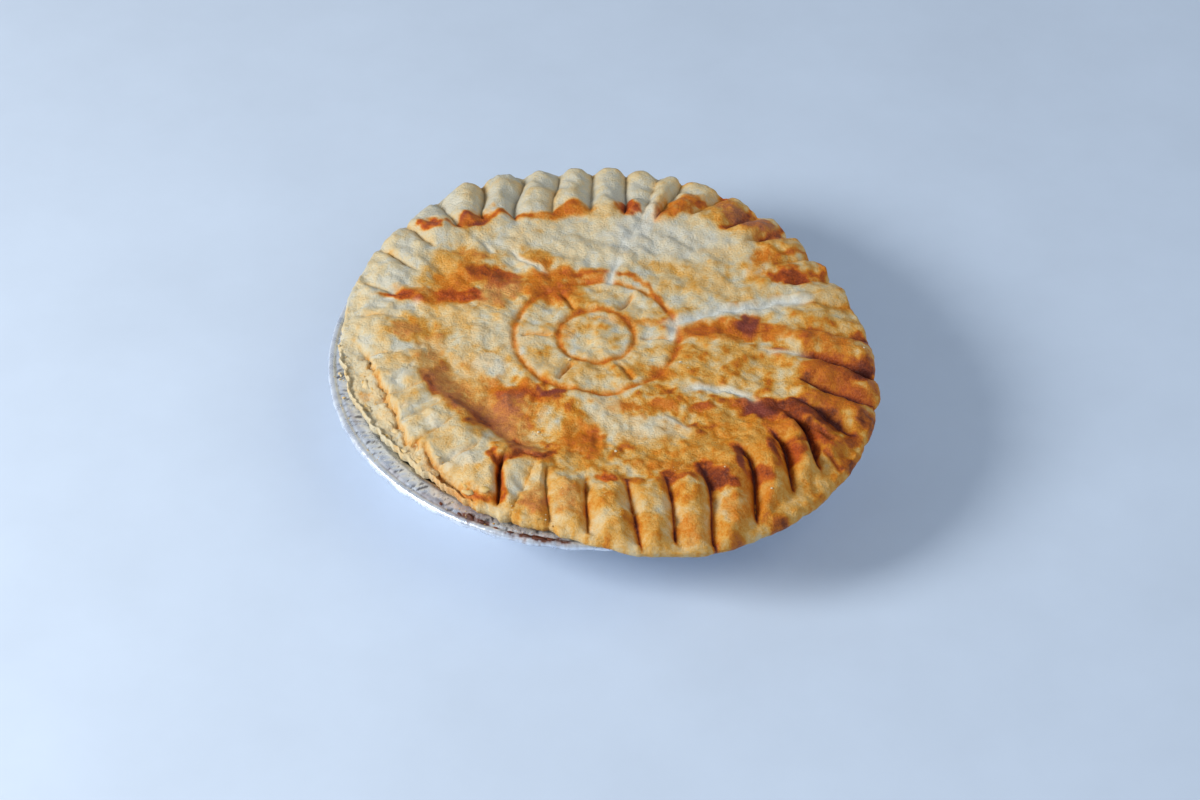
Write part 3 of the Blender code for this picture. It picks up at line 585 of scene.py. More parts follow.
class Loft:
    """Rings of points, stitched one to the next, with values kept for each point."""

    def __init__(self, *channels):
        self.points = []
        self.faces = []
        self.values = {channel: [] for channel in channels}
        self.last = None

    def ring(self, x, y, z, **values):
        """Adds a ring in millimetres and stitches it to the one before."""
        start = sum(len(ring) for ring in self.points)
        self.points.append(np.stack([x, y, np.broadcast_to(z, x.shape)], axis=1) * MM)
        for channel, kept in self.values.items():
            kept.append(np.broadcast_to(values.get(channel, 0.0), x.shape))
        ring = list(range(start, start + len(x)))
        if self.last:
            self.stitch(self.last, ring)
        self.last = ring

    def polar(self, angle, radius, z, groove=0.0):
        """Adds a ring from its angles and radii, and keeps those too."""
        self.ring(*plan(angle, radius), z, angle_deg=angle, radius_mm=radius, groove=groove)

    def stitch(self, here, there):
        """Faces between two rings, of which one may have twice the points of the other."""
        many, few = len(here), len(there)
        if many == few:
            for a, b, c, d in zip(here, there, there[1:] + there[:1], here[1:] + here[:1]):
                self.faces.append((a, b, c, d))
        elif few == 2 * many:
            for index, a in enumerate(here):
                after = here[(index + 1) % many]
                b, c, d = there[2 * index], there[2 * index + 1], there[(2 * index + 2) % few]
                self.faces += [(a, b, c), (a, c, after), (after, c, d)]
        else:
            for index, b in enumerate(there):
                after = there[(index + 1) % few]
                a, c, d = here[2 * index], here[2 * index + 1], here[(2 * index + 2) % many]
                self.faces += [(a, b, c), (b, after, c), (c, after, d)]

    def close(self, ring):
        """Closes a ring with one face."""
        self.faces.append(tuple(ring))

    def mesh(self, name):
        """The finished mesh, with its values as attributes on the points."""
        made = bpy.data.meshes.new(name)
        made.from_pydata(np.concatenate(self.points).tolist(), [], self.faces)
        for channel, kept in self.values.items():
            attribute = made.attributes.new(channel, "FLOAT", "POINT")
            attribute.data.foreach_set("value", np.concatenate(kept).astype(np.float32))
        made.validate()
        made.shade_smooth()
        return made


def paint(amounts, tone, cover):
    """Lays a tone over the amounts of browning, red, scorching and paleness."""
    for channel, target in enumerate(TONES[tone]):
        amounts[channel] += (target - amounts[channel]) * cover


def bake_and_shade(x, y, angle, radius, groove):
    """Amounts of browning, red, scorching and paleness at points of the crust, which also hold painted shade
    in the grooves, in the crevice at the foot of the tear and on the shaded slopes at the left.
    """
    inner = around(CREST_RADIUS, angle)
    on_border = ease(inner - 4.0, inner + 3.0, radius)
    middle = ease(14.0, 40.0, radius)
    base = CENTRE_BROWNING + (around(LID_BROWNING, angle) - CENTRE_BROWNING) * middle
    base = base + (around(BORDER_BROWNING, angle) - base) * on_border
    blotches = roughs(x, y, (0.44, 9.0, 21.0), (0.50, 4.2, 22.0), (0.30, 2.0, 23.0))
    browned = base + blotches * (0.35 + 1.3 * base) * (1.0 - 0.45 * on_border) + 0.12 * crag(x, y)
    amounts = [browned, *(np.zeros(x.shape) for _channel in range(3))]
    patchy = np.clip(1.0 + 0.6 * rough(x, y, 2.2, 37.0), 0.6, 1.0)
    bake_patches(amounts, x, y, patchy)
    bake_creases(amounts, x, y, patchy)
    bake_and_shade_ledge(amounts, x, y, angle, radius - torn_edge(angle), patchy)
    bake_and_shade_grooves(amounts, angle, radius, groove, on_border)
    return amounts


def bake_patches(amounts, x, y, patchy):
    """Paints the browned patches and lines with ragged, wandering edges."""
    warp_x = x + 2.0 * rough(x, y, 6.0, 31.0) + 0.8 * rough(x, y, 2.4, 32.0)
    warp_y = y + 2.0 * rough(x, y, 6.0, 33.0) + 0.8 * rough(x, y, 2.4, 34.0)
    edge = roughs(x, y, (0.4, 3.1, 35.0), (0.12, 1.3, 36.0))
    for tone, place, length, width, turn, cover in BROWNING:
        reach = patch_reach(warp_x, warp_y, place, length, width, turn)
        paint(amounts, tone, cover * patchy * (1.0 - ease(0.62, 1.28, reach + edge)))
    for tone, path, width, cover in BROWN_LINES:
        distance, _along = distance_to_path(warp_x, warp_y, curved(path))
        paint(amounts, tone, cover * patchy * (1.0 - ease(0.2, 1.7, distance / width + edge)))


def bake_creases(amounts, x, y, patchy):
    """Browns the pressed rings, the vents and the deep creases, and leaves the stretched creases pale."""
    paint(amounts, "rust", 0.75 * ring_lines(x, y) * patchy)
    paint(amounts, "orange", 0.5 * vent_lines(x, y))
    off_x, off_y = wandering(x, y)
    for path, _deep, width, pale in CREASES:
        distance, along = distance_to_path(off_x, off_y, curved(path))
        on_line = dent(distance, width * 1.15) * window((-0.1, 0.14, 0.86, 1.1), along)
        paint(amounts, "white" if pale else "brown", (pale or 0.85) * patchy * on_line)


def bake_and_shade_ledge(amounts, x, y, angle, beyond, patchy):
    """Leaves the ledge beyond the torn edge pale and flecked, and paints shade as a dark brown line in the
    crevice at the foot of the tear.
    """
    on_ledge = ledge_share(angle) * ease(-0.4, 0.4, beyond)
    paint(amounts, "cream", 0.6 * on_ledge * patchy)
    amounts[0] += 0.25 * on_ledge * np.maximum(rough(x, y, 1.6, 38.0), 0.0)
    # Painted shade: a dark earth line in the crevice at the foot of the tear
    paint(amounts, "earth", 0.55 * (ledge_share(angle) * dent(beyond - 0.6, 0.9)) * patchy)


def bake_and_shade_grooves(amounts, angle, radius, groove, on_border):
    """Darkens the grooves of the border with painted shade, greyed with scorch all round, and browns them red
    most of all at the front right.
    """
    outer = around(GROOVE_END_RADIUS, angle)
    front_right = window((255.0, 285.0, 352.0, 366.0), angle % 360.0)
    before_end = 1.0 - ease(outer - 1.5, outer + 2.0, radius)
    in_groove = groove ** (3.0 + 3.0 * front_right) * on_border * before_end
    # Painted shade in every groove, with real red browning added at the front right
    amounts[0] += in_groove * (0.14 + 0.34 * front_right)
    amounts[1] += in_groove * 0.7 * front_right
    amounts[2] += in_groove * 0.12


def pie_columns(width):
    """Columns for each part of the crust, thinned out towards the middle."""
    full = Columns(width)
    return {1: full, 2: full.every(2), 4: full.every(4)}


def crust_mesh(settings):
    """The whole pie body: lid, pinched border, round rim, underside and the filling's side in the tin."""
    loft = Loft("angle_deg", "radius_mm", "groove")
    columns = pie_columns(settings.column_width / MM)
    for share in np.linspace(0.012, 1.0, settings.lid_rings, endpoint=False):
        thin = 4 if share < 0.25 else 2 if share < 0.5 else 1
        angle = columns[thin].angle(LEAN_RADII[0])
        radius = around(CREST_RADIUS, angle) * share
        height = top_height(angle, radius) + flute(columns[thin], radius, angle)
        loft.polar(angle, radius, height, columns[thin].groove(angle))
    full = columns[1]
    for share in np.linspace(0.0, 0.965, settings.border_rings):
        angle = full.angle(LEAN_RADII[0] + (LEAN_RADII[1] - LEAN_RADII[0]) * share)
        crest, rim = around(CREST_RADIUS, angle), rim_radius(full, angle)
        radius = crest + (rim - crest) * share
        height = top_height(angle, radius, rim) + flute(full, radius, angle)
        loft.polar(angle, radius, height, full.groove(angle))
    rim_rings(loft, full)
    pie_body(loft, full)
    return loft


def rim_rings(loft, columns):
    """The rim's round, slightly ragged edge, down to its underside over the bead."""
    angle = columns.angle(LEAN_RADII[1])
    rim = rim_radius(columns, angle)
    ragged = rough(*plan(angle, rim), 2.6, 41.0)
    rise = 0.5 * flute(columns, rim - 4.0, angle)
    middle = TIN_FLANGE_HEIGHT + around(RIM_RISE, angle)
    bottom = TIN_FLANGE_HEIGHT + around(UNDER_RISE, angle)
    over_tin = rim < OVERHANG_RADIUS
    middle = np.where(over_tin, np.maximum(middle, tin_floor(rim) + 1.2), middle)
    bottom = np.where(over_tin, tin_floor(rim - RIM_ROUND), bottom)
    bottom = np.minimum(bottom, middle - 0.6)
    for step in RIM_STEPS:
        out, up = math.cos(math.radians(step)), math.sin(math.radians(step))
        radius = rim - RIM_ROUND * (1.0 - out) + 0.22 * ragged * max(out, 0.0)
        if up > 0.0:
            height = middle + (RIM_ROUND + 0.7 * rise) * up
        else:
            height = middle + (middle - bottom) * up
        loft.polar(angle, radius, height, columns.groove(angle))
    inner = np.minimum(rim - 1.8 * RIM_ROUND, UNDER_RADIUS)
    loft.polar(angle, inner, tin_floor(inner))


def pie_body(loft, columns):
    """The plain side and base of the pie inside its tin."""
    clear = TIN_FOIL + TIN_WALL_PLEAT + GAP
    wall_turn = TIN_FLANGE_HEIGHT - 1.0
    levels = [
        (2, TIN_WALL_TOP_RADIUS - clear, tin_floor(TIN_WALL_TOP_RADIUS)),
        (4, tin_wall_radius(wall_turn) - clear, wall_turn),
        (4, tin_wall_radius(PIE_CORNER_TOP) - clear - GAP, PIE_CORNER_TOP),
        (4, PIE_BASE_RADIUS, TIN_FOIL + GAP)]
    for thin, radius, height in levels:
        angle = columns.every(thin).angle(LEAN_RADII[1])
        loft.polar(angle, np.full(angle.shape, radius), height)


def folds(angle, seed, height):
    """Height of the folds crimped round the flange: straight facets between ridges of uneven spacing."""
    draw = random.Random(seed)
    knots, heights = [0.0], [0.0]
    side = 1.0
    while knots[-1] < 358.0:
        knots.append(knots[-1] + draw.uniform(*FOLD_SPACING))
        heights.append(side * draw.uniform(0.3, 1.0) * height)
        side = -side if draw.random() < 0.8 else side
    return np.interp(angle % 360.0, knots, heights, period=360.0)


def foil_stain(x, y):
    """How much baked-on juice stains the foil at points of it."""
    stain = np.zeros(x.shape)
    edge = roughs(x, y, (0.6, 2.4, 51.0), (0.4, 0.9, 52.0))
    for place, length, width, turn, strength in FOIL_STAINS:
        reach = patch_reach(x, y, place, length, width, turn)
        stain = np.maximum(stain, strength * (1.0 - ease(0.5, 1.3, reach + edge)))
    return stain


def tin_ring(loft, angle, radius, height, crimp=0.0):
    """A ring of the tin, pushed in and out by the wall's pleats and up and down by the flange's crimps."""
    pleat = 2.0 * np.abs(2.0 * ((angle * TIN_PLEATS / 360.0) % 1.0) - 1.0) - 1.0
    wall = window((2.0, 8.0, TIN_FLANGE_HEIGHT - 3.0, TIN_FLANGE_HEIGHT), height)
    across = radius - TIN_WALL_TOP_RADIUS
    bend = folds(angle + 0.3 * across, 3, 0.15) + folds(angle - 0.4 * across, 4, 0.10)
    x, y = plan(angle, radius + TIN_WALL_PLEAT * wall * pleat + 0.3 * crimp * bend)
    # Painted shade: dark where a crimped fold dips
    valley = 0.9 * crimp * ease(-0.06, -0.17, bend)
    loft.ring(x, y, height + crimp * bend, stain=foil_stain(x, y), valley=valley)


def tin_mesh(settings):
    """The foil tin: its base, pleated wall, crimped flange and rolled bead, with both faces of the foil."""
    loft = Loft("stain", "valley")
    columns = TIN_PLEATS * settings.columns_per_pleat
    dense = np.arange(columns) * 360.0 / columns
    inner_base = TIN_BASE_RADIUS + TIN_CORNER - 2.2
    for radius, height in ((20.0, TIN_FOIL), (TIN_BASE_RADIUS - 1.0, TIN_FOIL), (inner_base, 1.6)):
        tin_ring(loft, dense[::4], radius, height)
    for height in TIN_WALL_RINGS:
        tin_ring(loft, dense[::2], tin_wall_radius(height) - TIN_FOIL, height)
    flange = TIN_FLANGE_HEIGHT + 0.3
    for share in np.linspace(0.0, 1.0, FLANGE_RINGS):
        gutter = 0.35 * ease(0.86, 0.97, share)
        tin_ring(loft, dense, TIN_WALL_TOP_RADIUS + 0.7 + 4.8 * share, flange - gutter, ease(0.0, 0.2, share))
    bead = TIN_BEAD_RADIUS + 0.25
    for step in np.linspace(140.0, -140.0, BEAD_RINGS):
        out, up = math.cos(math.radians(step)), math.sin(math.radians(step))
        tin_ring(loft, dense, TIN_FLANGE_RADIUS + 0.1 + bead * out, TIN_TOP - 0.15 - bead + bead * up, 0.15)
    tin_ring(loft, dense[::2], TIN_FLANGE_RADIUS - 1.8, flange - 1.05)
    tin_ring(loft, dense[::2], TIN_WALL_TOP_RADIUS + 1.0, flange - 0.8)
    for height in (*TIN_WALL_RINGS[:0:-1], TIN_CORNER):
        tin_ring(loft, dense[::2], tin_wall_radius(height), height)
    tin_ring(loft, dense[::4], TIN_BASE_RADIUS + TIN_CORNER * 0.7, TIN_CORNER * 0.3)
    tin_ring(loft, dense[::4], TIN_BASE_RADIUS, 0.0)
    loft.close(range(len(loft.points[0])))
    loft.close(loft.last[::-1])
    return loft


def landing(x, y):
    """Where something dropped at a place in plan lands on the pie or its tin, and the slope there."""
    places = []
    above, down = Vector((x, y, DROP_HEIGHT)) * MM, Vector((0.0, 0.0, -1.0))
    for name in ("baked_pie", "crimped_tin"):
        if name not in bpy.data.objects:
            raise RuntimeError("the pie and its tin are built before what lies on them")
        hit, place, normal, _face = bpy.data.objects[name].ray_cast(above, down)
        if hit:
            places.append((place.z, place, normal))
    if not places:
        raise RuntimeError(f"nothing lies under {x:.1f}, {y:.1f}")
    return max(places, key=lambda landed: landed[0])[1:]


def scattered(draw, scatter):
    """Places in plan spread unevenly between two angles and two radii."""
    (first, last), (near, far), count = scatter[:3]
    for _step in range(count):
        turn, radius = math.radians(draw.uniform(first, last)), draw.uniform(near, far)
        yield radius * math.cos(turn), radius * math.sin(turn)


def add_lump(bm, layer, draw, where, half, flat, tone, turn=None):
    """An uneven lump, sunk a little into what it lies on. All sizes are half ones, in millimetres."""
    place, normal = landing(*where)
    spin = math.radians(turn) if turn is not None else draw.uniform(0.0, math.tau)
    stand = normal.to_track_quat("Z", "Y").to_matrix().to_4x4()
    shape = Matrix.Diagonal((*[size * MM for size in half], 1.0))
    made = bmesh.ops.create_icosphere(bm, subdivisions=2, radius=1.0)["verts"]
    seed = Vector((draw.uniform(-50.0, 50.0), draw.uniform(-50.0, 50.0), draw.uniform(-50.0, 50.0)))
    lift = Matrix.Translation(place + normal * half[2] * flat * MM)
    spun = lift @ stand @ Matrix.Rotation(spin, 4, "Z") @ shape
    for vertex in made:
        bulge = 1.0 + 0.45 * noise.noise(vertex.co * 1.1 + seed) + 0.25 * noise.noise(vertex.co * 2.7 - seed)
        vertex.co = spun @ (vertex.co * bulge)
        vertex[layer] = tone


def lumps_piece(name, slot, material, add_all):
    """A piece made of many small lumps, which add_all puts into its mesh."""
    bm = bmesh.new()
    layer = bm.verts.layers.float.new("browning")
    add_all(bm, layer)
    mesh = bpy.data.meshes.new(name)
    bm.to_mesh(mesh)
    bm.free()
    mesh.shade_smooth()
    return place_piece(mesh, name, material, slot)


def add_flake(bm, layer, draw, where):
    """A thin, bent, ragged flake of crust that lies on its side against the torn edge."""
    place, normal = landing(*where)
    outward = Vector((where[0], where[1], 0.0)).normalized()
    tilt = (normal + Vector((0.0, 0.0, 1.6)) + outward * draw.uniform(0.1, 0.8)).normalized()
    along = outward.cross(tilt).normalized()
    stand = Matrix((along, tilt.cross(along), tilt)).transposed().to_4x4()
    spun = Matrix.Translation(place) @ stand @ Matrix.Rotation(draw.uniform(-0.4, 0.4), 4, "Z")
    reach = draw.uniform(1.1, 2.6)
    stretch, bend, thick = draw.uniform(0.3, 0.7), draw.uniform(-0.08, 0.08), draw.uniform(0.10, 0.16)
    tone = draw.uniform(0.16, 0.42)
    turns = [math.tau * corner / FLAKE_CORNERS for corner in range(FLAKE_CORNERS)]
    outline = [(reach * draw.uniform(0.5, 1.2), turn) for turn in turns]
    sheets = []
    for side in (1.0, -1.0):
        ring = []
        for size, turn in outline:
            x, y = size * math.cos(turn), size * stretch * math.sin(turn)
            ring.append(bm.verts.new(spun @ (Vector((x, y, side * thick + bend * x * x)) * MM)))
        middle = bm.verts.new(spun @ (Vector((0.0, 0.0, side * thick)) * MM))
        sheets.append((ring, middle))
    (upper, top), (lower, foot) = sheets
    for one in range(FLAKE_CORNERS):
        two = (one + 1) % FLAKE_CORNERS
        bm.faces.new((upper[one], upper[two], top))
        bm.faces.new((lower[two], lower[one], foot))
        bm.faces.new((lower[one], lower[two], upper[two], upper[one]))
    for vertex in (*upper, *lower, top, foot):
        vertex[layer] = tone


def node(tree, kind, inputs=None, **options):
    """A node with its options and its unlinked or linked inputs."""
    made = tree.nodes.new(kind)
    for name, value in options.items():
        setattr(made, name, value)
    for name, value in (inputs or {}).items():
        if isinstance(value, bpy.types.NodeSocket):
            tree.links.new(value, made.inputs[name])
        else:
            made.inputs[name].default_value = value
    return made


def maths(tree, operation, first, second=0.0, clamp=False):
    """One sum on values or sockets."""
    made = node(tree, "ShaderNodeMath", {0: first, 1: second}, operation=operation, use_clamp=clamp)
    return made.outputs[0]


def swing(tree, value, amount):
    """A noise taken about its middle and scaled."""
    return maths(tree, "MULTIPLY", maths(tree, "SUBTRACT", value, 0.5), amount)


def mix_colours(tree, factor, first, second, blend="MIX"):
    """One mix of two colours."""
    made = node(tree, "ShaderNodeMix", data_type="RGBA", blend_type=blend, clamp_factor=True)
    for index, value in ((0, factor), (6, first), (7, second)):
        if isinstance(value, bpy.types.NodeSocket):
            tree.links.new(value, made.inputs[index])
        else:
            made.inputs[index].default_value = value
    return made.outputs[2]


def ramp(tree, factor, stops, interpolation="LINEAR"):
    """A colour ramp through (place, colour) stops."""
    made = node(tree, "ShaderNodeValToRGB", {0: factor})
    made.color_ramp.interpolation = interpolation
    elements = made.color_ramp.elements
    while len(elements) > 1:
        elements.remove(elements[-1])
    elements[0].position, elements[0].color = stops[0][0], (*stops[0][1], 1.0)
    for place, colour in stops[1:]:
        elements.new(place).color = (*colour, 1.0)
    return made.outputs[0]


def grain_group():
    """Shared node group: three sizes of grain, for mottled colour and for a fine bump."""
    group = bpy.data.node_groups.get("Fine grain")
    if group:
        return group
    group = bpy.data.node_groups.new("Fine grain", "ShaderNodeTree")
    group.interface.new_socket("Size", in_out="INPUT", socket_type="NodeSocketFloat").default_value = 1.0
    for name in GRAINS:
        group.interface.new_socket(name, in_out="OUTPUT", socket_type="NodeSocketFloat")
    entry = group.nodes.new("NodeGroupInput")
    leave = group.nodes.new("NodeGroupOutput")
    place = node(group, "ShaderNodeTexCoord").outputs["Object"]
    sized = node(group, "ShaderNodeVectorMath", {0: place, 3: entry.outputs["Size"]}, operation="SCALE")
    for name, (scale, detail, roughness) in GRAINS.items():
        look = {"Vector": sized.outputs[0], "Scale": scale, "Detail": detail, "Roughness": roughness}
        group.links.new(node(group, "ShaderNodeTexNoise", look).outputs[0], leave.inputs[name])
    return group


def new_material(name):
    """An empty node material with its Principled shader."""
    made = bpy.data.materials.new(name)
    made.use_nodes = True
    return made, made.node_tree, made.node_tree.nodes["Principled BSDF"]


def grain(tree, size):
    """The shared grain, placed in one material at its own size."""
    placed = node(tree, "ShaderNodeGroup", node_tree=grain_group())
    placed.inputs["Size"].default_value = size
    return placed.outputs


def attribute(tree, name):
    """A value kept on the mesh's points."""
    return node(tree, "ShaderNodeAttribute", attribute_name=name).outputs["Fac"]


def crust_material(settings):
    """Baked pastry: pale dough to dark brown by how far each place is browned, mottled and grained; the
    amounts also hold painted shade in the grooves, the crevice of the tear and the shaded slopes at the left.
    """
    made, tree, shader = new_material("baked_pastry")
    grains = grain(tree, 1.0)
    mottle = swing(tree, grains["Mottle"], settings.mottle)
    uneven = maths(tree, "ADD", mottle, swing(tree, grains["Specks"], settings.specks))
    browned = maths(tree, "ADD", attribute(tree, "browning"), uneven, clamp=True)
    plain = ramp(tree, browned, [
        (0.0, settings.dough), (0.14, settings.cream), (0.30, settings.straw), (0.45, settings.golden),
        (0.58, settings.amber), (0.72, settings.chestnut), (0.86, settings.umber), (0.98, settings.char)])
    reddened = mix_colours(tree, attribute(tree, "red"), plain, (*settings.red_tint, 1.0), "MULTIPLY")
    scorched = mix_colours(tree, attribute(tree, "scorched"), reddened, (*settings.scorch, 1.0))
    floured = mix_colours(tree, attribute(tree, "paleness"), scorched, (*settings.flour, 1.0))
    tree.links.new(floured, shader.inputs["Base Color"])
    roughness = maths(tree, "SUBTRACT", 0.56, maths(tree, "MULTIPLY", browned, 0.2))
    tree.links.new(roughness, shader.inputs["Roughness"])
    fine = maths(tree, "ADD", grains["Bumps"], maths(tree, "MULTIPLY", grains["Specks"], 0.9))
    bump = node(tree, "ShaderNodeBump", {"Strength": 0.6, "Distance": 0.001, "Height": fine})
    tree.links.new(bump.outputs[0], shader.inputs["Normal"])
    shader.inputs["Specular IOR Level"].default_value = 0.32
    return made


def foil_material(settings):
    """Crimped aluminium foil, streaked and dulled, with painted shade in the bottoms of its folds and
    baked-on juice where it is stained.
    """
    made, tree, shader = new_material("crimped_foil")
    grains = grain(tree, 0.8)
    uneven = maths(tree, "ADD", 1.0, swing(tree, grains["Specks"], 1.1))
    stained = maths(tree, "MULTIPLY", attribute(tree, "stain"), uneven, clamp=True)
    foil = ramp(tree, grains["Mottle"], [(0.35, settings.dull), (0.6, settings.foil)])
    # Painted shade in the bottoms of the crimped folds
    foil = mix_colours(tree, attribute(tree, "valley"), foil, (*settings.fold_shade_colour, 1.0))
    juice = ramp(tree, grains["Mottle"], [(0.35, settings.juice_dark), (0.7, settings.juice_light)])
    tree.links.new(mix_colours(tree, stained, foil, juice), shader.inputs["Base Color"])
    metal = maths(tree, "MULTIPLY", maths(tree, "SUBTRACT", 1.0, stained), settings.metal)
    tree.links.new(metal, shader.inputs["Metallic"])
    streaks = maths(tree, "MULTIPLY", grains["Mottle"], 0.3)
    dulled = maths(tree, "ADD", streaks, maths(tree, "MULTIPLY", stained, 0.25))
    tree.links.new(maths(tree, "ADD", dulled, 0.14), shader.inputs["Roughness"])
    bump = node(tree, "ShaderNodeBump", {"Strength": 0.5, "Distance": 0.0005, "Height": grains["Mottle"]})
    tree.links.new(bump.outputs[0], shader.inputs["Normal"])
    return made


def crumb_material(name, stops, roughness, specular):
    """Small lumps coloured from pale to dark by how browned each one is."""
    made, tree, shader = new_material(name)
    grains = grain(tree, 1.6)
    uneven = swing(tree, grains["Mottle"], 0.5)
    browned = maths(tree, "ADD", attribute(tree, "browning"), uneven, clamp=True)
    tree.links.new(ramp(tree, browned, stops), shader.inputs["Base Color"])
    shader.inputs["Roughness"].default_value = roughness
    shader.inputs["Specular IOR Level"].default_value = specular
    bump = node(tree, "ShaderNodeBump", {"Strength": 0.6, "Distance": 0.0004, "Height": grains["Bumps"]})
    tree.links.new(bump.outputs[0], shader.inputs["Normal"])
    return made


def place_piece(mesh, name, material, slot, *nodes):
    """Puts a mesh in the scene as a piece of the object, with its finish, its body and what it stands for."""
    piece = bpy.data.objects.new(name, mesh)
    bpy.context.scene.collection.objects.link(piece)
    mesh.materials.append(material)
    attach(piece, "root")
    if nodes:
        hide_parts(*nodes)
    return piece


class CrustSettings(bpy.types.PropertyGroup):
    """Sizes and colours of the crust."""

    column_width: FloatProperty(
        name="Column width", description="Width of a mesh column at the rim", default=0.00068, unit="LENGTH")
    lid_rings: IntProperty(name="Lid rings", description="Rings of mesh inside the crest", default=84)
    border_rings: IntProperty(name="Border rings", description="Rings of mesh over the border", default=38)
    mottle: FloatProperty(name="Mottle", description="Uneven browning, some millimetres across", default=0.31)
    specks: FloatProperty(name="Specks", description="Uneven browning, a millimetre across", default=0.34)
    dough: FloatVectorProperty(
        name="Dough", description="Unbrowned dough", default=(0.64, 0.61, 0.49), subtype="COLOR")
    cream: FloatVectorProperty(
        name="Cream", description="Barely baked crust", default=(0.71, 0.59, 0.36), subtype="COLOR")
    straw: FloatVectorProperty(
        name="Straw", description="Lightly baked crust", default=(0.75, 0.525, 0.235), subtype="COLOR")
    golden: FloatVectorProperty(
        name="Golden", description="Golden crust", default=(0.73, 0.385, 0.075), subtype="COLOR")
    amber: FloatVectorProperty(
        name="Amber", description="Well baked crust", default=(0.66, 0.23, 0.006), subtype="COLOR")
    chestnut: FloatVectorProperty(
        name="Chestnut", description="Browned crust", default=(0.50, 0.125, 0.004), subtype="COLOR")
    umber: FloatVectorProperty(
        name="Umber", description="Dark brown crust", default=(0.24, 0.05, 0.003), subtype="COLOR")
    char: FloatVectorProperty(
        name="Char", description="Nearly burnt crust", default=(0.10, 0.014, 0.002), subtype="COLOR")
    red_tint: FloatVectorProperty(
        name="Red tint", description="Tint of sugary red spots", default=(1.0, 0.62, 0.7), subtype="COLOR")
    # The scorch colour also darkens the grooves and the tan and earth tones as painted shade
    scorch: FloatVectorProperty(
        name="Scorch", description="Scorched spots", default=(0.24, 0.045, 0.028), subtype="COLOR")
    flour: FloatVectorProperty(
        name="Flour", description="Stretched dough in creases", default=(0.70, 0.72, 0.68), subtype="COLOR")


class POTPIE_OT_crust(bpy.types.Operator):
    """Build the baked crust and the pie's body"""

    bl_idname = "pot_pie.crust"
    bl_label = "Pie"

    def execute(self, context):
        settings = context.scene.pot_pie_crust
        loft = crust_mesh(settings)
        points = np.concatenate(loft.points) / MM
        kept = {channel: np.concatenate(values) for channel, values in loft.values.items()}
        amounts = bake_and_shade(points[:, 0], points[:, 1], kept["angle_deg"], kept["radius_mm"], kept["groove"])
        loft.values = {}
        for channel, amount in zip(("browning", "red", "scorched", "paleness"), amounts):
            loft.values[channel] = [np.clip(amount, 0.0, 1.0)]
        loft.close(range(len(loft.points[0])))
        loft.close(loft.last[::-1])
        mesh = loft.mesh("baked_pie")
        place_piece(mesh, "baked_pie", crust_material(settings), "pastry_crust", "pie")
        return {"FINISHED"}


class TinSettings(bpy.types.PropertyGroup):
    """Mesh and colours of the foil tin."""

    columns_per_pleat: IntProperty(
        name="Columns per pleat", description="Columns of mesh to each pleat, a multiple of four", default=28)
    metal: FloatProperty(name="Metal", description="How metallic the foil is", default=0.6, min=0.0, max=1.0)
    foil: FloatVectorProperty(
        name="Foil", description="Bright foil", default=(0.86, 0.92, 1.0), subtype="COLOR")
    dull: FloatVectorProperty(
        name="Dull foil", description="Greasy foil", default=(0.62, 0.69, 0.82), subtype="COLOR")
    # Colour of the painted shade in the bottoms of the folds
    fold_shade_colour: FloatVectorProperty(
        name="Folds", description="Dark bottoms of the folds", default=(0.10, 0.10, 0.13), subtype="COLOR")
    juice_dark: FloatVectorProperty(
        name="Dark juice", description="Burnt-on juice", default=(0.06, 0.018, 0.012), subtype="COLOR")
    juice_light: FloatVectorProperty(
        name="Light juice", description="Thin burnt-on juice", default=(0.22, 0.07, 0.03), subtype="COLOR")


class POTPIE_OT_tin(bpy.types.Operator):
    """Build the foil tin"""

    bl_idname = "pot_pie.tin"
    bl_label = "Foil tin"

    def execute(self, context):
        settings = context.scene.pot_pie_tin
        mesh = tin_mesh(settings).mesh("crimped_tin")
        place_piece(mesh, "crimped_tin", foil_material(settings), "tin_foil", "foil_tin")
        return {"FINISHED"}


class BitsSettings(bpy.types.PropertyGroup):
    """Crumbs, flakes and baked-on juice."""

    seed: IntProperty(name="Seed", description="Where the loose bits fall", default=12)
    pale: FloatVectorProperty(
        name="Pale crumb", description="Inside of the crust", default=(0.78, 0.72, 0.52), subtype="COLOR")
    baked: FloatVectorProperty(
        name="Baked crumb", description="Outside of the crust", default=(0.70, 0.42, 0.10), subtype="COLOR")
    burnt: FloatVectorProperty(
        name="Burnt crumb", description="Dark crumb", default=(0.30, 0.08, 0.02), subtype="COLOR")
    juice: FloatVectorProperty(
        name="Juice", description="Lumps of burnt-on juice", default=(0.075, 0.018, 0.010), subtype="COLOR")


class POTPIE_OT_crumbs(bpy.types.Operator):
    """Scatter the crumbs over the lid, the ledge and the flange"""

    bl_idname = "pot_pie.crumbs"
    bl_label = "Crumbs"

    def execute(self, context):
        settings = context.scene.pot_pie_bits
        draw = random.Random(settings.seed)

        def add_all(bm, layer):
            for x, y, size, tone in LID_CRUMBS:
                add_lump(bm, layer, draw, (x, y), (0.5 * size, 0.42 * size, 0.36 * size), 0.6, tone)
            for scatter in CRUMB_SCATTER:
                for where in scattered(draw, scatter):
                    size = 0.5 * draw.uniform(*scatter[3])
                    half = (size, size * draw.uniform(0.6, 1.0), size * draw.uniform(0.5, 0.9))
                    add_lump(bm, layer, draw, where, half, 0.5, draw.uniform(*scatter[4]))

        stops = [(0.0, settings.pale), (0.4, settings.baked), (0.9, settings.burnt)]
        lumps_piece("crumbs", "pastry_crust", crumb_material("crumb", stops, 0.75, 0.2), add_all)
        return {"FINISHED"}


